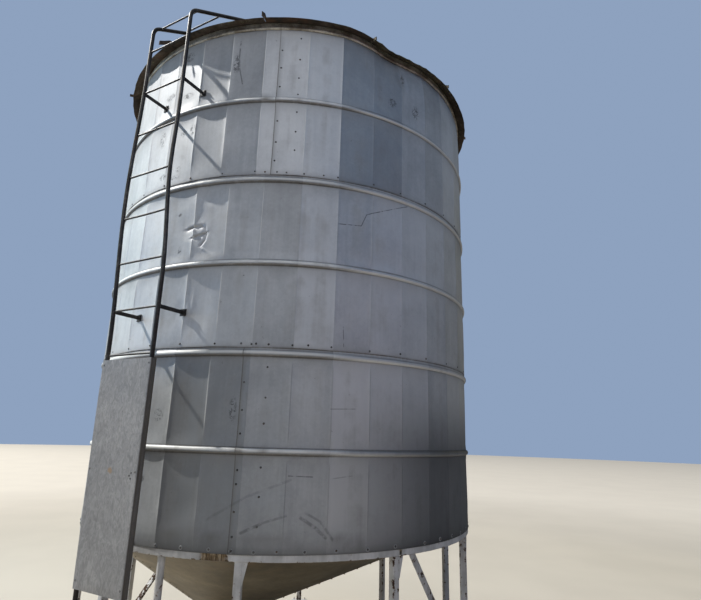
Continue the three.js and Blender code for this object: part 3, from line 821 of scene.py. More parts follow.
def wallReach(level, azimuth, height):
    course = courses[level]
    azimuth, height = np.broadcast_arrays(np.asarray(azimuth, float), np.asarray(height, float))
    local = turnBack(azimuth)
    index = stripAt(course, local)
    share, nearest = placeInStrip(course, local, index)
    before, after = course["folds"][index], course["folds"][index + 1]
    half = np.radians(after - before) / 2
    middle = (after + before) / 2
    radius = wall["radius"] + level * wall["lap"]
    sag = radius * (1 - np.cos(half) / np.cos(np.radians(local - middle)))
    out = course["out"][index] * (1 - share) + course["out"][index + 1] * share
    fade = foldFade(course, height)
    reach = radius + fade * (wall["proud"] - course["hollow"][index] * sag + out)
    away = np.abs(local - course["folds"][nearest]) / wall["crestTurn"]
    reach = reach + fade * course["crest"][nearest] * np.exp(-away)
    for k, (first, second) in enumerate(course["waves"]):
        along = np.sin(np.radians(local) * round((k + 2) * 1.5) + first)
        upward = np.sin(height * (2.2 + 1.7 * k) + second)
        reach = reach + wall["wave"] / (1 + 0.4 * k) * along * upward * fade
    reach = reach + ribRise(course, height)
    if course["name"] == "upper":
        near = np.clip(1 - (course["top"] - height) / rimPush["reach"], 0, 1) ** 1.6
        reach = reach - rimMoves(local)[0] * near
    reach = reach - dentDepth(azimuth, height)
    return reach - creaseDepth(azimuth, height) if course["name"] == "middle" else reach


def wallPoint(level, azimuth, height, lift=0.0):
    return Vector(around(azimuth, float(wallReach(level, azimuth, height)) + lift, height))


def wallNormal(level, azimuth, height):
    along = wallPoint(level, azimuth + 0.25, height) - wallPoint(level, azimuth - 0.25, height)
    rise = wallPoint(level, azimuth, height + 0.006) - wallPoint(level, azimuth, height - 0.006)
    return along.cross(rise).normalized()


def spaced(start, places, end, least):
    inside = sorted(place for place in places if start < place < end)
    kept = [inside[0]]
    for place in inside[1:]:
        if place - kept[-1] > least:
            kept.append(place)
    return np.array([start, *kept, end])


def wallColumns(level, start, end):
    places = [start, start + 0.25, end - 0.25, end, *np.arange(start, end, 1.55)]
    for turn in (0, 360):
        places += [fold + turn + d for fold in courses[level]["folds"] for d in wall["foldColumns"]]
    for more in wall["moreColumns"].get(level, ()):
        places += [place + turn for place in np.arange(*more) for turn in (0, 360)]
    return spaced(start, places, end, 0.045)


def wallRows(level, half):
    low, high = courses[level]["bottom"], courses[level]["top"]
    places = [*np.arange(low, high, 0.042), low + 0.012, high - 0.012]
    for rib in courses[level]["ribs"]:
        middle = wall["ribs"][rib]
        places = [place for place in places if abs(place - middle) > 0.055]
        places += [middle + hand * share * wall["ribHalf"] for share in wall["ribShares"] for hand in (-1, 1)]
    if level < 2:
        edge = courses[level + 1]["bottom"]
        places = [place for place in places if not edge - 0.020 < place < edge + 0.010]
        places += [edge + shift for shift in (-0.015, -0.009, -0.004, -0.001, 0.001)]
    for more in wall["moreRows"].get((level, half), ()):
        places += list(np.arange(*more))
    return spaced(low, places, high, 0.0004)


# Grey stains and rubbed places on the wall: azimuth, height, half sizes in degrees and metres,
# how dark
stains = [
    (-10.6, 3.915, 1.2, 0.030, 0.9), (-2.0, 3.915, 0.8, 0.020, 0.5), (-10.5, 1.596, 1.3, 0.030, 0.7),
    (-5.2, 1.596, 1.1, 0.030, 0.6),
    (-18.6, 4.120, 0.4, 0.035, 0.7), (29.0, 4.330, 0.8, 0.070, 0.4), (-36.0, 1.450, 1.4, 0.040, 0.4),
    (-3.0, 1.130, 6.0, 0.030, 0.3), (-15.0, 1.118, 2.4, 0.030, 0.55), (12.2, 1.122, 2.0, 0.030, 0.55),
    (-24.0, 1.125, 3.0, 0.040, 0.35), (3.0, 1.110, 3.5, 0.020, 0.4), (24.0, 4.460, 11.0, 0.070, 0.50),
]


# between the first two azimuths it comes in, and between the last two it goes out
def inAndOut(local, first, second, third, fourth):
    return smooth(local, first, second) * (1 - smooth(local, third, fourth))


def wallNotes(level, azimuths, heights, lapped):
    course = courses[level]
    local = turnBack(azimuths)
    lowDarkening = wall["lowDarkening"]
    # painted shade: darker low down between the right azimuths, and darker towards the bottom along the foot
    paintedShading = 1 - lowDarkening["amount"] * (inAndOut(local, *lowDarkening["right"]) * (1 - smooth(heights, *lowDarkening["height"])))
    paintedShading = paintedShading * (1 - lowDarkening["foot"] * np.exp(-(heights - courses[0]["bottom"]) / 0.085))
    paintedReflectionSide = inAndOut(local, *wall["paintedReflectionSide"])
    edge = np.exp(-np.abs(azimuths - lapped) / 0.20)
    # darker along each course's bottom edge and towards its top, and a dark line along the lapped edge
    dirtsAndShade = [0.45 * np.exp(-(heights - course["bottom"]) / 0.012),
             0.40 * np.exp(-(course["top"] - heights) / 0.10), 0.95 * edge]
    ribHighlights = []
    for rib in course["ribs"]:
        drop = (wall["ribs"][rib] - heights) / wall["ribHalf"]
        # painted shade on the lower half of each rib and just under it, less where the rib gets a painted
        # reflection; darker just below and just above each rib
        under = smooth(drop, 0.25, 0.60) * np.exp(-np.maximum(drop - 1.15, 0) / 0.45)
        below = smooth(drop, 0.8, 1.1) * np.exp(-np.maximum(drop - 1.1, 0) / 3.0)
        above = smooth(-drop, 0.80, 1.0) * (1 - smooth(-drop, 1.15, 1.4))
        dirtsAndShade += [(0.72 - 0.60 * paintedReflectionSide) * under, 0.30 * below, 0.60 * above]
        # painted highlights: a rib's lower half where it gets a painted reflection, its top half elsewhere
        ribHighlights.append(paintedReflectionSide * smooth(drop, 0.10, 0.30) * (1 - smooth(drop, 0.85, 1.0)))
        ribHighlights.append((1 - paintedReflectionSide) * (smooth(-drop, -0.20, 0.05) * (1 - smooth(-drop, 0.65, 0.90))))
        # painted shade: a dark line along each rib's lower edge, and along its top where it gets a painted
        # reflection
        paintedShading = paintedShading * (1 - 0.35 * (1 - paintedReflectionSide) * np.exp(-((drop - 1.0) / 0.14) ** 2))
        paintedShading = paintedShading * (1 - 0.60 * paintedReflectionSide * np.exp(-((drop + 0.70) / 0.24) ** 2))
    # a dark line just under the edge of the course above
    if level < 2:
        lapLine = courses[level + 1]["bottom"] - 0.002
        dirtsAndShade.append(0.95 * np.exp(-((heights - lapLine) / 0.006) ** 2))
    for turn, middle, wide, tall, amount in stains:
        near = np.exp(-((turnBack(local - turn)) / wide) ** 2 - ((heights - middle) / tall) ** 2)
        dirtsAndShade.append(amount * near)
    index = stripAt(course, local)
    nearest = placeInStrip(course, local, index)[1]
    close = np.exp(-((local - course["folds"][nearest]) / 0.13) ** 2)
    line = course["line"][nearest]
    line = line * np.where(line > 1, smooth(heights, *wall["sheenFade"]), 1)
    # painted highlight or painted dark line along each fold, and painted highlights on the ribs
    sheenAndDark = 0.5 + 0.4 * line * close * foldFade(course, heights) + 0.5 * np.maximum.reduce(ribHighlights)
    dirtAndShade = np.maximum.reduce(dirtsAndShade)
    return np.stack([dirtAndShade, course["tone"][index], sheenAndDark - 0.45 * edge, paintedShading], axis=-1)


def wallSheet(level, half, low, lowLap, high):
    course = courses[level]
    azimuths, heights = np.meshgrid(wallColumns(level, low, high), wallRows(level, half))
    reach = wallReach(level, azimuths, heights)
    reach = reach + (wall["sheet"] + wall["clear"]) * (1 - smooth(azimuths, lowLap, lowLap + wall["lapTurn"]))
    if level < 2:
        room = wallReach(level + 1, azimuths, heights) - wall["sheet"] - 0.0007
        hidden = heights > courses[level + 1]["bottom"] - 0.0005
        reach = np.where(hidden, np.minimum(reach, room), reach)
    bend = wall["edgeWave"] * np.sin(np.radians(azimuths) * 17 + level)
    nearEdge = np.clip(1 - (heights - course["bottom"]) / 0.03, 0, 1)
    heights = heights + bend * nearEdge * (level > 0)
    if level == 2:
        heights = heights - rimMoves(azimuths)[1] * np.clip(1 - (course["top"] - heights) / 0.25, 0, 1)
    shape = Shape().sheet(around(azimuths, reach, heights), wall["sheet"])
    notes = wallNotes(level, azimuths, heights, low)
    shape.notes = np.concatenate([notes.reshape(-1, 4)] * 2)
    shape.piece(f"wall_{course['name']}_{'ab'[half]}", wallZinc, "galvanised_wall",
                f"wall_sheet_{course['name']}_{half + 1}", 60)


# two sheets in each course, and each starts over the end of the other
for level, course in enumerate(courses):
    (first, firstLap), (second, secondLap) = course["seams"]
    wallSheet(level, 0, first, firstLap, secondLap)
    wallSheet(level, 1, second, secondLap, firstLap + 360)
print("wall made")

rivets = {
    "radius": 0.0062,
    "height": 0.0036,
    "washer": 0.0125,
    "seamColumns": {
        "lower": ((-10.4, (1.068, 1.139, 1.268, 1.415, 1.491, 1.692, 1.826, 1.988)),
                  (-5.3, (1.194, 1.350, 1.508, 1.752, 1.901, 2.081))),
        "upper": ((-7.1, (3.452, 3.594, 3.755, 4.024, 4.178, 4.324)),
                  (-2.2, (3.537, 3.677, 3.828, 3.965, 4.099, 4.251, 4.428))),
    },
    "seamPitch": 0.150,         # on the seams that the viewer doesn't see
    "lapExtras": {"middle": (-11.8, -8.4, -5.7, 3.9), "upper": (-9.6, -6.5, -3.8, 6.0)},
    "footTurns": (-10.4, -5.6, -0.8, 5.1, 12.0, 19.4, 26.8),
    "footPitch": 6.45,
    "footHeight": 1.067,
    "seed": 5,
}


# where one course's rivets are, as azimuth and height
def rivetSpots(course, loose):
    front = rivets["seamColumns"].get(course["name"])
    spots = [(azimuth, height) for azimuth, heights in front or () for height in heights]
    for edge, lap in course["seams"][1 if front else 0:]:
        heights = np.arange(course["bottom"] + 0.07, course["top"] - 0.04, rivets["seamPitch"])
        spots += [(azimuth, float(height)) for azimuth in (edge + 0.7, lap - 1.0) for height in heights
                  if all(abs(height - wall["ribs"][rib]) > 0.04 for rib in course["ribs"])]
    if course["name"] == "lower":
        feet = [turn for turn in np.arange(-176.5, 180, rivets["footPitch"]) if not -13 < turn < 30]
        feet += rivets["footTurns"]
        return spots + [(turn, rivets["footHeight"] + loose.uniform(-0.002, 0.003)) for turn in feet]
    turns = [*course["folds"][3:-3], *rivets["lapExtras"][course["name"]]]
    return spots + [(turn + loose.uniform(-0.5, 0.5), course["bottom"] + 0.019 + loose.uniform(-0.003, 0.004))
                    for turn in turns]


def buildRivets():
    loose = np.random.default_rng(rivets["seed"])
    washers = Shape()
    for level, course in enumerate(courses):
        shape = Shape()
        for azimuth, height in rivetSpots(course, loose):
            inLap = any((azimuth - edge) % 360 < (lap - edge) % 360 for edge, lap in course["seams"])
            place = wallPoint(level, azimuth, height, (wall["sheet"] + wall["clear"]) * inLap)
            normal = wallNormal(level, azimuth, height)
            if level == 0 and height < 1.08:
                washer = rivets["washer"] * loose.uniform(0.9, 1.1)
                profile = [(washer, -0.002), (washer, 0.0006), (washer - 0.0006, 0.0012), (0.002, 0.0012)]
                washers.turned(place, normal, profile, 18)
                place = place + normal * 0.0010
            shape.rivet(place, normal, rivets["radius"] * loose.uniform(0.92, 1.1), rivets["height"])
        shape.piece(f"rivets_{course['name']}", rivetFinish, "galvanised_wall", sharp=50)
    washers.piece("foot_washers", washerZinc, "galvanised_wall")


buildRivets()
print("rivets made")

# Roof: twelve sector sheets with standing seams turned up at the eave
roof = {
    "eave": 1.584, "eaveHeight": 4.505, "slope": 32.0, "hole": 0.290,
    "sheet": 0.0030,
    "upright": 1.18,        # a sheet's thickness as measured upright, in thicknesses
    "panels": 12, "firstSeam": -12.0, "seamHeight": 0.026,
    "overhang": 0.012, "ragged": 0.004, "sag": 0.0035, "crumple": 0.0035, "seed": 3,
    "rows": (0, 0.004, 0.012, 0.022, 0.034, 0.048, 0.07, 0.1, 0.18, 0.28, 0.4, 0.52, 0.64, 0.76, 0.88, 1.0),
    "seamRadii": (0.400, 0.43, 0.8, 1.06, 1.15, 1.25, 1.35, 1.47, 1.545, 1.565, 1.580),
    "curl": 0.022, "curlTurns": (-75, -58, 8, 24),  # the edge is turned up between these azimuths
    # seams whose ends are bent: how far they stick out, how tall they stand there, how far aside
    "bentEnds": {0: (0.016, 0.038, -0.012), 1: (0.006, 0.024, 0.0), 2: (0.008, 0.026, 0.0),
                 10: (0.026, 0.020, 0.0), 11: (0.040, 0.034, -0.066)},
}


def roofUnder(radius):
    return roof["eaveHeight"] + (roof["eave"] - radius) * math.tan(math.radians(roof["slope"]))


def roofTop(radius):
    return roofUnder(radius) + roof["sheet"] * roof["upright"]


def eaveCurl(azimuth, radius):
    share = inAndOut(turnBack(azimuth), *roof["curlTurns"])
    return roof["curl"] * (0.25 + 0.75 * share) * smooth(radius, roof["eave"] - 0.075, roof["eave"]) ** 1.5


def buildRoof():
    sector = 360 / roof["panels"]
    slope = math.radians(roof["slope"])
    loose = np.random.default_rng(roof["seed"])
    for index in range(roof["panels"]):
        seam = roof["firstSeam"] + sector * index
        azimuths, share = np.meshgrid(np.linspace(seam + 0.05, seam + sector - 0.05, 25), roof["rows"])
        across = (azimuths - seam) / sector
        ragged = 0.5 * np.sin(azimuths * 2.9 + index) + 0.5 * np.sin(azimuths * 6.7 + 2 * index)
        radii = roof["eave"] - (roof["eave"] - roof["hole"]) * share
        radii = radii - (np.abs(roof["ragged"] * ragged) + 0.0005) * (share == 0)
        heights = roofUnder(radii) + roof["sheet"] / math.cos(slope)
        dip = np.sin(np.pi * across) * roof["sag"] * np.sin(np.pi * np.clip(share * 1.1, 0, 1))
        bulge = loose.uniform(-0.002, 0.002) * np.sin(2 * np.pi * across) * np.sin(3 * np.pi * share)
        nearEave = np.exp(-share / 0.03)
        curl = (loose.uniform(-0.003, 0.002) * np.sin(np.pi * across)
                + loose.uniform(-0.002, 0.002) * np.sin(2 * np.pi * across)) * nearEave
        push, drop = roofMoves(azimuths, radii)
        crumple = roof["crumple"] * (np.sin(azimuths * 1.9) + np.sin(azimuths * 4.3 + 1)) * nearEave
        crumple = crumple * smooth(rimMoves(azimuths)[0], 0.015, 0.045)
        heights = heights - dip + bulge + curl - drop + crumple + eaveCurl(azimuths, radii)
        shape = Shape().sheet(around(azimuths, radii - push, heights), roof["sheet"])
        standingSeam(shape, seam, index)
        loose.uniform(-1, 1)    # the fourth draw of each sheet is left over
        shape.piece(f"roof_sheet_{index + 1}", roofRust, "rusted_roof", f"roof_panel_{index + 1}", 38)


def standingSeam(shape, seam, index):
    overhang, endHeight, aside = roof["bentEnds"].get(index, (roof["overhang"], roof["seamHeight"], 0.0))
    tip = roof["eave"] + overhang
    loops = []
    for radius in (*roof["seamRadii"], (roof["eave"] + tip) / 2, tip):
        push, drop = [float(move) for move in roofMoves(seam, radius)]
        top = roofTop(min(radius, roof["eave"])) - drop + float(eaveCurl(seam, radius))
        tall = roof["seamHeight"] - 0.001 + 0.001 * math.sin(radius * 9 + index)
        tall += (endHeight - roof["seamHeight"]) * float(smooth(radius, 1.550, 1.580))
        lean = 0.0016 * math.sin(radius * 3 + index)
        bent = aside * float(smooth(radius, roof["eave"] - 0.006, tip))
        corners = [(0.0008, -0.0015), (0.0100, -0.0015), (0.0092, 0.004), (0.0086, tall * 0.7),
                   (0.0102, tall * 0.86), (0.0094, tall * 0.97), (0.0060, tall), (0.0022, tall * 0.985),
                   (0.0010, tall * 0.86), (0.0022, tall * 0.7), (0.0016, 0.004)]
        loops.append([at(seam, radius - push, top + height, side + bent + lean * height / tall)
                      for side, height in corners])
    shape.loft(loops)
    if index % 2 == 0:
        radius = roof["eave"] - 0.03
        push, drop = [float(move) for move in roofMoves(seam, radius)]
        place = at(seam, radius - push, roofUnder(radius) + 0.018 - drop, 0.0100)
        shape.bolt(place, at(seam, 0, 0, 1), 0.005)


# Top rim: a rolled bead on the wall's edge, and the strip that carries the roof
rim = {"bead": 0.0105, "height": 4.5025, "reach": 1.5085, "strip": (1.5006, 1.5066), "wander": 0.0012,
       "pitch": 1.5}


def buildRim():
    inner, outer = rim["strip"]
    sagging = roof["eave"] * (1 - math.cos(math.radians(3))) * math.tan(math.radians(roof["slope"]))
    bead, strip = [], []
    for turn in np.arange(0, 360, rim["pitch"]):
        push, drop = [float(move) for move in rimMoves(turn)]
        wave = rim["wander"] * math.sin(math.radians(turn) * 23) * math.sin(math.radians(turn) * 7 + 1)
        middle, height = rim["reach"] - push + wave, rim["height"] - drop
        bead.append([at(turn, middle + rim["bead"] * 0.82 * math.cos(a), height + rim["bead"] * math.sin(a))
                     for a in circle(14)])
        top = roofUnder(outer) - sagging - 0.0012 - drop
        strip.append([at(turn, inner - push, height), at(turn, outer - push, height),
                      at(turn, outer - push, top), at(turn, inner - push, top)])
    shape = Shape().loft(bead, ring=True).loft(strip, ring=True)
    shape.piece("rim_bead", rimFinish, "galvanised_wall", "top_rim")


buildRim()
buildRoof()
print("rim and roof made")

collar = {"inside": 0.292, "wall": 0.004, "flange": 0.345, "height": 0.095, "bolts": 16, "boltRadius": 0.328}


def buildCollar():
    flange, inside = collar["flange"], collar["inside"]
    outside = inside + collar["wall"]
    base, low, top = roofTop(inside), roofTop(flange) + 0.0008, roofTop(roof["hole"]) + collar["height"]
    shape = Shape().swept([
        (inside, base), (flange, low), (flange + 0.0005, low + 0.002), (flange - 0.001, low + 0.0035),
        (outside + 0.006, base + 0.0005), (outside + 0.001, base + 0.005), (outside, base + 0.012),
        (outside, top - 0.014), (outside + 0.003, top - 0.012), (outside + 0.0055, top - 0.007),
        (outside + 0.004, top - 0.002), (outside, top), (inside, top)], 3.0)
    tilt = Vector((math.tan(math.radians(roof["slope"])), 0, 1)).normalized()
    for k in range(collar["bolts"]):
        turn = 360 / collar["bolts"] * (k + 0.5)
        place = at(turn, collar["boltRadius"], roofTop(collar["boltRadius"]) + 0.0042)
        shape.bolt(place, at(turn, tilt.x, tilt.z), 0.0062, k)
    shape.piece("fill_collar_sheet", fittingZinc, "galvanised_fittings", "fill_collar", 35)
    return top


lid = {"radius": 0.320, "edge": 0.018, "rise": 0.070, "clips": (30, 150, 270), "ridges": 6}


def buildLid(top):
    def crown(share):
        return top + lid["edge"] + lid["rise"] * (1 - share) - 0.001 * math.sin(share * 3.1)

    edge = lid["radius"]
    profile = [(edge - 0.004, top + 0.0006), (edge - 0.001, top + 0.002), (edge, top + 0.006),
               (edge - 0.0005, top + 0.013), (edge - 0.004, top + 0.0175), (edge - 0.012, top + 0.0190),
               (edge - 0.018, top + 0.0215)]
    profile += [(edge * share, crown(share)) for share in np.linspace(0.9, 0.06, 9)]
    profile.append((0.004, top + lid["edge"] + lid["rise"] + 0.0001))
    shape = Shape().loft([[at(turn, *corner) for turn in np.arange(0, 360, 5.0)] for corner in profile])
    for turn in lid["clips"]:
        place = at(turn, edge + 0.001, top + 0.006)
        shape.block(place + up * 0.001, (at(turn, 0, 0, 1), at(turn, 1, 0), up), (0.034, 0.010, 0.022), 0.003)
        shape.bolt(place + at(turn, 0.005, 0.002), at(turn, 1, 0), 0.0052)
    section = ((-0.006, -0.001), (-0.003, 0.0024), (0.003, 0.0024), (0.006, -0.001))
    for k in range(lid["ridges"]):
        turn = 60 * k + 10
        shape.loft([[at(turn, edge * share, crown(share) + high, side) for side, high in section]
                    for share in np.linspace(0.86, 0.12, 8)])
    shape.piece("fill_lid_sheet", fittingZinc, "galvanised_fittings", "fill_lid", 35)


buildLid(buildCollar())
print("collar and lid made")

# Bottom ring: a rolled angle inside the wall's foot, rusted through in one place
ring = {
    "outside": 1.4967, "low": 1.013, "high": 1.110, "thick": 0.0060, "ledge": 0.068,
    "gaps": (28.5, 208.5), "gapWidth": 0.40,
    "rust": (-17.2, -11.0),             # from which azimuth to which
    "closer": (-24, -8, 0.35),          # points there lie closer
    "edgeWear": (0.4, 1.0, 1.0, 0.2, 0.0, 0.35, 0.2, 0.0, 0.0, 0.2, 0.3, 0.4),
}


def ringProfile(local, rust):
    jag = 0.5 + 0.5 * math.sin(local * 9.1) * math.sin(local * 23.7 + 1)
    eaten = rust * (0.002 + 0.004 * jag)
    bite = 0.0022 * max(0.0, math.sin(local * 3.3) * math.sin(local * 7.1 + 0.6)) ** 2
    base = ring["low"] + bite + rust * 0.002 * jag
    radius, thick = ring["outside"], ring["thick"]
    ledge, inside = radius - ring["ledge"], radius - thick
    return [(ledge, base), (radius - 0.002, base), (radius - eaten, base + 0.002), (radius - eaten, 1.024),
            (radius - eaten * 1.3, 1.034), (radius - eaten, 1.045), (radius, 1.054),
            (radius, ring["high"]), (inside, ring["high"]), (inside, base + 0.010),
            (inside - 0.004, base + thick), (ledge, base + thick)]


def buildRing():
    shape = Shape()
    first, second = [gap - 360 for gap in ring["gaps"]]
    start, end = ring["rust"]
    for low, high in ((first, second), (second, first + 360)):
        low, high = low + ring["gapWidth"], high - ring["gapWidth"]
        closer = [turn for turn in np.arange(*ring["closer"]) if low < turn < high]
        loops = []
        for turn in sorted({*np.linspace(low, high, 130), *closer}):
            local = float(turnBack(turn))
            rust = float(inAndOut(local, start - 0.4, start + 0.8, end - 0.8, end + 0.4))
            loops.append([at(turn, *corner) for corner in ringProfile(local, rust)])
            shape.notes += [(min(1.0, edge * 0.55 + 2.2 * rust), rust, 0, 1) for edge in ring["edgeWear"]]
        shape.loft(loops)
    shape.piece("ring_angle", palePaint, "chipped_paint", "bottom_ring")


buildRing()
print("ring made")

# Hopper: a leaning cone of four lapped sheets
hopper = {
    "topRadius": 1.4904, "topHeight": 1.085, "outletX": -0.386, "outletRadius": 0.150,
    "outletHeight": 0.360, "seams": 45.0, "sheet": 0.0026, "lapTurn": 3.0, "wave": 0.0016,
    "lapDrop": (0.0026 + 0.0006) * 1.15,    # how far the lapped edge hangs under the other
    "spigotLow": 0.250, "spigotWall": 0.004, "flange": 0.192, "flangeThick": 0.006,
    "bolts": 8, "boltRadius": 0.172,
}


def hopperGrid(azimuths, shares):
    turns, share = np.meshgrid(azimuths, shares)
    top = around(turns, hopper["topRadius"], hopper["topHeight"])
    low = around(turns, hopper["outletRadius"], hopper["outletHeight"])
    low[..., 0] += hopper["outletX"]
    grid = top + (low - top) * share[..., None]
    wave = hopper["wave"] * np.sin(np.radians(turns) * 11) * np.sin(share * 8) * np.sin(np.pi * share)
    grid[..., 2] += wave
    return grid


def hopperSpot(azimuth, share):
    return Vector(hopperGrid([azimuth], [share])[0, 0])


def buildHopper():
    for index in range(4):
        start = hopper["seams"] + 90 * index
        turns = np.linspace(start - hopper["lapTurn"], start + 90, 62)
        grid = hopperGrid(turns, np.linspace(1, 0, 26))
        grid[..., 2] -= (1 - smooth(turns, start, start + 1.2)) * hopper["lapDrop"]
        shape = Shape().sheet(grid, hopper["sheet"])
        for share in np.linspace(0.06, 0.94, 15):
            spot = hopperSpot(start - 1.5, share)
            side = hopperSpot(start - 0.9, share) - spot
            down = hopperSpot(start - 1.5, share + 0.01) - spot
            normal = side.cross(down).normalized()
            normal = normal if normal.z < 0 else -normal
            shape.rivet(spot - up * hopper["lapDrop"] + normal * hopper["sheet"] * 0.6, normal)
        shape.piece(f"hopper_sheet_{index + 1}", hopperReflectedTan, "hopper_sheet", f"hopper_panel_{index + 1}")


def buildSpigot():
    flange, outside = hopper["flange"], hopper["outletRadius"]
    inside = outside - hopper["spigotWall"]
    low, top = hopper["spigotLow"], hopper["outletHeight"] - 0.0003
    high = low + hopper["flangeThick"]
    centre = Vector((hopper["outletX"], 0, 0))
    shape = Shape().swept([
        (inside, low), (flange - 0.001, low), (flange, low + 0.001), (flange, high - 0.001),
        (flange - 0.001, high), (outside + 0.004, high), (outside + 0.001, high + 0.003),
        (outside, high + 0.006), (outside, top - 0.010), (outside + 0.005, top - 0.006),
        (outside + 0.013, top - 0.004), (outside + 0.014, top), (inside, top)], 5.0, centre)
    for k in range(hopper["bolts"]):
        place = centre + at(360 / hopper["bolts"] * (k + 0.5), hopper["boltRadius"], high)
        shape.bolt(place, up, 0.008, k)
        shape.bolt(place - up * hopper["flangeThick"], -up, 0.008, k)
    shape.piece("spigot_flange", hopperReflectedTan, "hopper_sheet", "outlet_spigot", 35)


buildHopper()
buildSpigot()
print("hopper made")

legs = {
    "count": 10, "pitch": 36, "first": -8.6, "side": 0.046, "corner": 0.006,
    "foot": 0.150, "footThick": 0.010, "footBolts": 0.055,
    "gusset": (0.026, 0.120, 0.008),    # width, height and thickness
    "rows": (0.02, 0.06, 0.15, 0.3, 0.45, 0.6, 0.75, 0.88, 0.96),
}
legReach = ring["outside"] * math.cos(math.radians(4.5)) - legs["side"] / 2
legTop = ring["low"] - 0.0003


# a leg's section, as side, side and how worn it is: round corners, and three points on each flat
def legSection():
    half, corner = legs["side"] / 2, legs["corner"]
    corners = []
    for turn in (0, 90, 180, 270):
        middle = math.radians(turn + 45)
        for angle in (math.radians(turn + step) for step in (0, 30, 60, 90)):
            corners.append((math.cos(middle) * math.sqrt(2) * (half - corner) + corner * math.cos(angle),
                            math.sin(middle) * math.sqrt(2) * (half - corner) + corner * math.sin(angle)))
    section = []
    for k, here in enumerate(corners):
        section.append((*here, 1.0))
        if k % 4 == 3:
            there = corners[(k + 1) % len(corners)]
            section += [(here[0] * (1 - s) + there[0] * s, here[1] * (1 - s) + there[1] * s, wear)
                        for s, wear in ((0.2, 0.45), (0.5, 0.0), (0.8, 0.45))]
    return section


def legTube(shape, azimuth, index):
    loops = []
    for height in (legs["footThick"] - 0.001, *legs["rows"], legTop - 0.012, legTop):
        dirty = 0.5 * math.exp(-(height - legs["footThick"]) / 0.10)
        dirty += 0.35 * math.exp(-(legTop - height) / 0.03)
        bow = 0.0008 * math.sin(height * 5 + index)
        loops.append([at(azimuth, legReach + u, height, v + bow) for u, v, wear in legSection()])
        shape.notes += [(min(1.0, wear * 0.55 + dirty), 0, 0, 1) for u, v, wear in legSection()]
    shape.loft(loops)


def legWelds(shape, azimuth):
    half, run = legs["side"] / 2, legs["side"] / 2 - 0.0045
    lines = [((-run, hand * half), (run, hand * half)) for hand in (-1, 1)]
    lines += [((hand * half, -run), (hand * half, run)) for hand in (-1, 1)]
    for line in lines:
        for height in (legTop - 0.0022, legs["footThick"] + 0.001):
            # the gusset is in the way of the outer one at the top
            if height < 0.5 or line[0][0] != half:
                shape.weldLine(*(at(azimuth, legReach + u, height, v) for u, v in line))


def buildLegs():
    half = legs["side"] / 2
    wide, tall, thick = legs["gusset"]
    outline = [(-0.002, 0), (wide - 0.001, 0), (wide, -0.003), (wide * 0.96, -0.012), (0.0015, -tall),
               (-0.002, -tall)]
    for index in range(legs["count"]):
        azimuth = legs["first"] + legs["pitch"] * index
        shape = Shape()
        legTube(shape, azimuth, index)
        foot = at(azimuth, legReach, legs["footThick"] / 2)
        shape.block(foot, (at(azimuth, 1, 0), at(azimuth, 0, 0, 1), up),
                    (legs["foot"], legs["foot"], legs["footThick"]), 0.0025)
        for u in (-legs["footBolts"], legs["footBolts"]):
            for v in (-legs["footBolts"], legs["footBolts"]):
                place = at(azimuth, legReach + u, legs["footThick"], v)
                shape.bolt(place, up, 0.0075, index + u)
                shape.turned(place, up, [(0.0042, 0.004), (0.0042, 0.020), (0.0036, 0.022)], 10)
        face = legReach + half
        shape.loft([[at(azimuth, face - depth, legTop + high, half + side) for side, high in outline]
                    for depth in (thick, 0.0005)])
        shape.weldLine(at(azimuth, face - thick / 2, legTop - 0.004, half + 0.003),
                       at(azimuth, face - thick / 2, legTop - tall + 0.01, half + 0.001))
        legWelds(shape, azimuth)
        shape.wornEvenly()
        shape.piece(f"leg_tube_{index + 1}", palePaint, "chipped_paint", f"leg_{index + 1}", 38)


post = {"azimuth": -27.0, "radius": 0.0215, "foot": 0.047}


def buildPost():
    shape = Shape()
    base = at(post["azimuth"], legReach, 0)
    foot = post["foot"]
    path = [base + up * height for height in (0.009, 0.03, 0.2, 0.4, 0.6, 0.8, 0.98, legTop)]
    shape.pipe(path, post["radius"], 24)
    shape.turned(base, up, [(foot, 0.0), (foot, 0.008), (foot - 0.002, 0.010), (0.01, 0.010)], 32)
    for height in (0.0105, legTop - 0.0045):
        shape.weld(base + up * height, up, post["radius"])
    shape.wornEvenly(0.5)
    shape.piece("post_pipe", palePaint, "chipped_paint", "extra_post")


brace = {"bays": (27.4, 207.4), "flange": 0.050, "thick": 0.006, "topTurn": 4.6, "footHeight": 0.070}


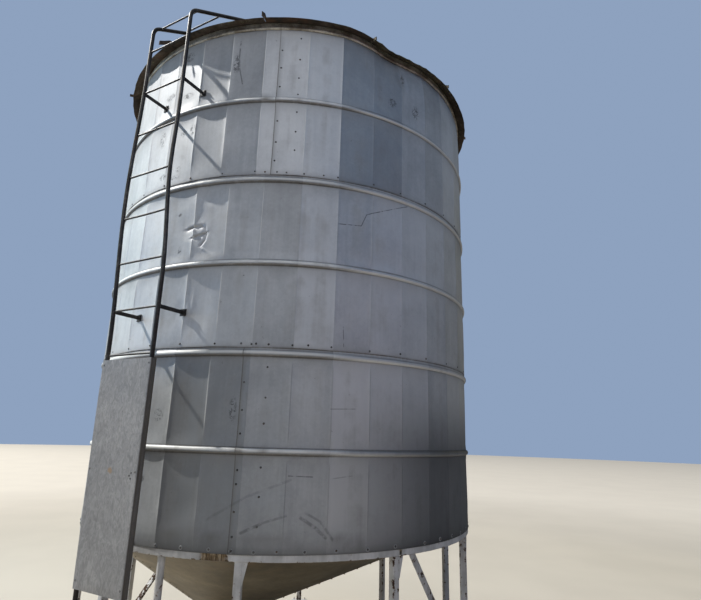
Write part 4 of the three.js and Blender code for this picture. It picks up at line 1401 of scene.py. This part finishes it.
def buildBrace(name, bay, node):
    top = at(bay + brace["topTurn"], legReach, ring["low"])
    foot = at(bay + legs["pitch"], legReach, brace["footHeight"])
    aside = at(bay + legs["pitch"], 0, 0, 1)
    along = (foot - top).normalized()
    across = along.cross(at(bay + 18, 1, 0)).normalized()
    out = across.cross(along).normalized()
    wide, thick = brace["flange"], brace["thick"]
    section = [(0, 0), (wide - 0.002, 0), (wide, -0.0015), (wide, -thick + 0.002), (wide - 0.002, -thick),
               (thick + 0.004, -thick), (thick + 0.001, -thick - 0.001), (thick, -thick - 0.004),
               (thick, -wide + 0.002), (thick - 0.002, -wide), (0.0015, -wide), (0, -wide + 0.002)]
    shape = Shape()
    loops = []
    for share in (0.0, 0.02, 0.2, 0.4, 0.6, 0.8, 0.955, 0.97):
        middle = top + along * (foot - top).length * share
        loop = [middle + across * (u - wide / 2) + out * (v + wide / 2) for u, v in section]
        if share == 0.0:        # cut off level under the ring
            loop = [spot - along * ((spot.z - (ring["low"] - 0.0004)) / along.z) for spot in loop]
        if share == 0.97:       # cut off along the leg's side
            side = -legs["side"] / 2 - 0.0006
            loop = [spot + along * ((side - spot.dot(aside)) / along.dot(aside)) for spot in loop]
        loops.append(loop)
        shape.notes += [(min(1.0, 0.35 + 0.8 * share), 0, 0, 1)] * len(section)
    shape.loft(loops)
    shape.piece(name, palePaint, "chipped_paint", node, 38)


buildLegs()
buildPost()
for number, bay in enumerate(brace["bays"], 1):
    buildBrace(f"brace_angle_{number}", bay, f"brace_{number}")
print("legs, post and braces made")

# Ladder: two bent pipe stiles with welded rungs, and brackets to the wall
ladder = {
    "azimuth": -36.0, "gauge": 0.386, "distance": 1.687, "stile": 0.0135, "rung": 0.0066,
    "rungs": (0.436, 0.776, 1.116, 1.456, 1.796, 2.136, 2.421, 2.738, 3.060, 3.369, 3.693, 4.034, 4.384),
    # bends of each stile: heights, and how far it stands there to the right of its straight line
    "bends": {
        -1: ((0.0, 2.150, 3.250, 4.150), (0.055, 0.015, -0.043, -0.010)),
        1: ((0.0, 2.600, 3.400, 3.750), (0.033, 0.031, -0.024, -0.011)),
    },
    "bend": 4.600, "bendRadius": 0.060, "slope": 33.0, "end": 0.560,
    "roofRungs": (0.070, 0.330, 0.680, 1.030),      # how far up the leaning part
    "brackets": {2.421: 1, 4.034: 2},   # heights, and which course each is bolted to
    "arm": (0.008, 0.025), "lug": (0.005, 0.046, 0.046), "seed": 9,
}
outward, aside = at(ladder["azimuth"], 1, 0), at(ladder["azimuth"], 0, 0, 1)


def onLadder(distance, height, side):
    return at(ladder["azimuth"], distance, height, side)


def stileSide(hand, height):
    heights, shifts = ladder["bends"][hand]
    side = hand * ladder["gauge"] / 2 + shifts[0]
    for low, high, before, after in zip(heights, heights[1:], shifts, shifts[1:]):
        side += (after - before) * float(smooth(height, low, high))
    return side


# distance and height so far up the part that leans over the roof
def ladderRun(run):
    slope = math.radians(ladder["slope"])
    return ladder["distance"] - run * math.cos(slope), ladder["bend"] + run * math.sin(slope)


def bentOver(start, knee, end, count):
    return [start.lerp(knee, s).lerp(knee.lerp(end, s), s) for s in np.linspace(0, 1, count)]


def stilePath(hand):
    def spot(distance, height):
        return onLadder(distance, height, stileSide(hand, height))

    distance, end = ladder["distance"], ladder["end"]
    slope = math.radians(ladder["slope"])
    reach = ladder["bendRadius"] * math.tan((math.pi / 2 - slope) / 2) * 1.9
    endRun = (distance - end) / math.cos(slope)
    knee = spot(*ladderRun(endRun))
    side = stileSide(hand, ladder["bend"])
    foot = roofTop(math.hypot(end, side)) + 0.0006 + 0.004
    path = [spot(distance, height) for height in (0.0, 0.01, *np.arange(0.25, 4.5, 0.125))]
    path += bentOver(spot(distance, ladder["bend"] - reach), spot(distance, ladder["bend"]),
                     spot(*ladderRun(reach)), 9)
    path += bentOver(spot(*ladderRun(endRun - 0.045)), knee, onLadder(end, knee.z - 0.045, side), 6)
    return path + [onLadder(end, foot, side)]


def bracket(shape, hand, height, level):
    side = stileSide(hand, height)
    turn = math.asin(side / wall["radius"])
    local = ladder["azimuth"] + math.degrees(turn)
    surface = float(wallReach(level, local, height)) + 0.0005
    normal = at(local, 1, 0)
    shape.block(at(local, surface + 0.0028, height), (normal, at(local, 0, 0, 1), up), ladder["lug"], 0.0016)
    inner = onLadder(surface * math.cos(turn) + 0.002, height, side)
    outer = onLadder(ladder["distance"] - 0.008, height, side)
    shape.block((inner + outer) / 2, (outward, aside, up), ((outer - inner).length, *ladder["arm"]), 0.0014)
    for v, h in ((-0.015, 0.013), (0.015, -0.013), (0.015, 0.013)):
        shape.bolt(at(local, surface + 0.0052, height + h, v), normal, 0.0046, h * 100)
    for hold in (-0.0045, 0.0045):
        start = onLadder(ladder["distance"] - 0.0133, height - 0.011, side + hold)
        shape.weldLine(start, start + up * 0.022, 0.0030)
        face = inner + outward * 0.0045
        shape.weldLine(face + aside * hold - up * 0.011, face + aside * hold + up * 0.011, 0.0028)


def buildLadder():
    places = [(ladder["distance"], height) for height in ladder["rungs"]]
    places += [ladderRun(run) for run in ladder["roofRungs"]]
    for hand, word in ((-1, "left"), (1, "right")):
        path = stilePath(hand)
        shape = Shape().pipe(path, ladder["stile"], 22)
        foot = [(0.030, 0), (0.030, 0.0030), (0.028, 0.0036), (0.016, 0.0036)]
        shape.turned(path[-1] + up * -0.0034, up, foot, 24)
        shape.weld(path[-1] + up * 0.0014, up, ladder["stile"] * 0.98)
        for distance, height in places:
            side = stileSide(hand, height) - hand * (ladder["stile"] - 0.0012)
            shape.weld(onLadder(distance, height, side), aside, ladder["rung"] + 0.0006, 0.0028, 14)
        for height, level in ladder["brackets"].items():
            bracket(shape, hand, height, level)
        shape.piece(f"stile_pipe_{word}", ladderSteel, "dark_steel", f"stile_{word}")
    loose = np.random.default_rng(ladder["seed"])
    for number, (distance, height) in enumerate(places, 1):
        bow = loose.uniform(-0.003, 0.001)
        left, right = [stileSide(hand, height) - hand * (ladder["stile"] - 0.0002) for hand in (-1, 1)]
        path = [onLadder(distance, height + bow * (1 - (2 * s - 1) ** 2), left + (right - left) * s)
                for s in np.linspace(0, 1, 9)]
        shape = Shape().pipe(path, ladder["rung"], 14)
        shape.piece(f"rung_bar_{number}", ladderSteel, "dark_steel", f"rung_{number}")


buildLadder()
print("ladder made")

# Guard: one sheet folded round both stiles
guard = {
    "low": 0.835, "high": 2.107, "face": 1.7038, "clear": 0.0168, "return": 0.037, "sheet": 0.0022,
    "bend": 0.005, "buckle": 0.0022,
    "rivets": (2.077, 1.471, 0.880),    # heights of those that hold it to the stiles
    "studs": ((0.180, 1.450), (0.195, 1.465), (0.192, 1.435)),
}


def guardOutline(left, right):
    face, bend = guard["face"], guard["bend"]
    start = face - guard["return"] - guard["sheet"]
    edge = [(0.0, distance) for distance in np.linspace(start, face - bend, 5)]
    edge += [(bend - bend * math.cos(a), face - bend + bend * math.sin(a)) for a in np.linspace(0.3, 1.27, 4)]
    line = [(left + side, distance) for side, distance in edge]
    line += [(side, face) for side in np.linspace(left + bend, right - bend, 25)]
    return line + [(right - side, distance) for side, distance in reversed(edge)]


def buildGuard():
    low, high = guard["low"], guard["high"]
    rows, notes = [], []
    for height in (low, low + 0.004, *np.linspace(low + 0.012, high - 0.012, 44), high - 0.004, high):
        left, right = stileSide(-1, height) - guard["clear"], stileSide(1, height) + guard["clear"]
        rise = (height - low) / (high - low)
        lip = 0.0006 * (rise < 0.004 or rise > 0.996)
        row = []
        for side, distance in guardOutline(left, right):
            share = (side - left) / (right - left)
            inner = 4 * share * (1 - share)
            wave = math.sin(rise * 7.3 + side * 6) * 0.5 + math.sin(rise * 3.1 - side * 11 + 1) * 0.5
            push = -guard["buckle"] * inner * (0.5 + 0.5 * wave)
            row.append(onLadder(distance + push - lip * inner, height, side))
            behind = float(smooth(guard["face"] - distance, 0.0, guard["bend"]))
            # the returns are dirtier, and the right one is painted darker still, a painted shade
            wornAndShaded = max(0.25 + 0.2 * math.exp(-rise / 0.04), behind * (0.4 if side < 0 else 1.0))
            notes.append((wornAndShaded, 0.5, 0.5 - 0.25 * behind * (side > 0), 1))
        rows.append(row)
    shape = Shape().sheet(np.array(rows), guard["sheet"])
    shape.notes = notes * 2
    for height in guard["rivets"]:
        for hand in (-1, 1):
            place = onLadder(guard["face"] - 0.0002, height, stileSide(hand, height))
            shape.rivet(place, outward, 0.0058, 0.0030)
    shape.wornEvenly()
    shape.piece("guard_sheet", guardZinc, "galvanised_fittings", "ladder_guard")
    studs = Shape()
    for side, height in guard["studs"]:
        studs.rivet(onLadder(guard["face"] - 0.0006, height, side), outward, 0.0052, 0.0026)
    studs.piece("guard_studs", rivetFinish, "galvanised_fittings", sharp=50)


buildGuard()
print("guard made")

# Floor, light and air
stage = {
    "floor": (0.520, 0.480, 0.410),
    "floorLight": (0.5512, 0.5088, 0.4346),
    "farFloor": (0.300, 0.285, 0.260),
    "farFrom": (5.5, 15.0),
    "farTo": 60.0,
    "air": (0.62, 0.74, 0.95),
    "airStrength": 0.12,
    "backdrop": (0.270, 0.360, 0.520),
    # name, azimuth, distance, height, size, power, colour, height it points at
    "lights": [
        ("keySun", -105.0, 56.5, 60.9, (1.29, 1.29), 80000, (1.0, 0.985, 0.95), 3.0),
        ("keyMiddle", -106, 7.0, 5.2, (3.0, 3.6), 95.0, (0.77, 0.98, 1.0), 3.0),
        ("sideMiddle", -78, 7.5, 4.2, (3.4, 3.2), 39.3, (0.02, 0.37, 1.0), 3.0),
        ("sideLow", -78, 7.5, 1.6, (3.4, 2.0), 29.6, (1.0, 0.96, 0.95), 1.6),
        ("leftMiddle", -48, 8.0, 3.8, (3.8, 3.0), 26.3, (0.64, 0.82, 1.0), 2.8),
        ("frontHigh", -10, 8.5, 7.8, (5.0, 4.0), 171.1, (0.98, 0.98, 1.0), 3.2),
        ("nearRightHigh", 34, 8.5, 7.8, (4.0, 4.0), 68.0, (0.02, 0.44, 1.0), 3.2),
        ("nearRightMiddle", 34, 8.5, 3.8, (4.0, 3.2), 12.0, (1.0, 0.02, 0.02), 2.8),
        ("rightHigh", 85, 8.0, 7.0, (5.0, 4.0), 30.0, (0.71, 0.86, 1.0), 3.2),
        ("edgeRight", 120, 7.0, 4.5, (4.0, 5.0), 11.8, (1.0, 0.76, 0.02), 2.8),
        ("backSoftbox", 172, 8.0, 6.5, (6.0, 5.0), 200, (1.0, 0.99, 0.97), 3.0),
        ("topSoftbox", 180, 1.0, 9.5, (5.0, 5.0), 36, (1.0, 1.0, 1.0), 3.5),
    ],
}


def plainFloor(name):
    f = Finish(name, Roughness=0.9, Emission_Strength=1.0)
    colour = f.mix(f.rise(f.noise(0.8, 3.0, 0.5), 0.3, 0.7), stage["floor"], stage["floorLight"])
    # the lamps fall off, so the floor's far part has a glow of its own
    far = f.rise(f.sum("SQRT", f.x * f.x + f.y * f.y), *stage["farFrom"])
    return f.ends(Base_Color=colour, Emission_Color=f.mix(far, (0.0, 0.0, 0.0), stage["farFloor"]))


def floorRing(name, inner, outer, finish, count=96):
    points = [(reach * math.cos(turn), reach * math.sin(turn), -0.0005) for reach in (inner, outer)
              for turn in circle(count)]
    mesh = bpy.data.meshes.new(name)
    faces = [[k, k + count, (k + 1) % count + count, (k + 1) % count] for k in range(count)]
    mesh.from_pydata(points, [], faces)
    mesh.materials.append(finish)
    floor = bpy.data.objects.new(name, mesh)
    bpy.context.scene.collection.objects.link(floor)
    return floor


# pale floor and soft air, with a plain blue backdrop that only the eye sees
def buildStage():
    finish = plainFloor("floorPlain")
    floorRing("floor", 0.001, stage["farFrom"][0], finish)
    far = floorRing("floorFar", stage["farFrom"][0], stage["farTo"], finish)
    far.visible_diffuse = False     # its glow is for the eye only
    far.visible_glossy = False
    world = bpy.data.worlds.new("air")
    world.use_nodes = True
    tree = world.node_tree
    air = tree.nodes["Background"]
    air.inputs["Color"].default_value = (*stage["air"], 1)
    air.inputs["Strength"].default_value = stage["airStrength"]
    backdrop = tree.nodes.new("ShaderNodeBackground")
    backdrop.inputs["Color"].default_value = (*stage["backdrop"], 1)
    either = tree.nodes.new("ShaderNodeMixShader")
    seen = tree.nodes.new("ShaderNodeLightPath")
    tree.links.new(seen.outputs["Is Camera Ray"], either.inputs[0])
    tree.links.new(air.outputs[0], either.inputs[1])
    tree.links.new(backdrop.outputs[0], either.inputs[2])
    tree.links.new(either.outputs[0], tree.nodes["World Output"].inputs["Surface"])
    bpy.context.scene.world = world


def buildLights():
    for name, turn, far, height, size, power, colour, target in stage["lights"]:
        lamp = bpy.data.lights.new(name, "AREA")
        lamp.shape = "RECTANGLE"
        lamp.size, lamp.size_y = size
        lamp.energy = power
        lamp.color = colour
        holder = bpy.data.objects.new(name, lamp)
        holder.location = at(turn, far, height)
        holder.rotation_mode = "QUATERNION"
        holder.rotation_quaternion = (Vector((0, 0, target)) - holder.location).to_track_quat("-Z", "Y")
        holder.visible_camera = False
        bpy.context.scene.collection.objects.link(holder)


buildStage()
buildLights()
print("stage made")
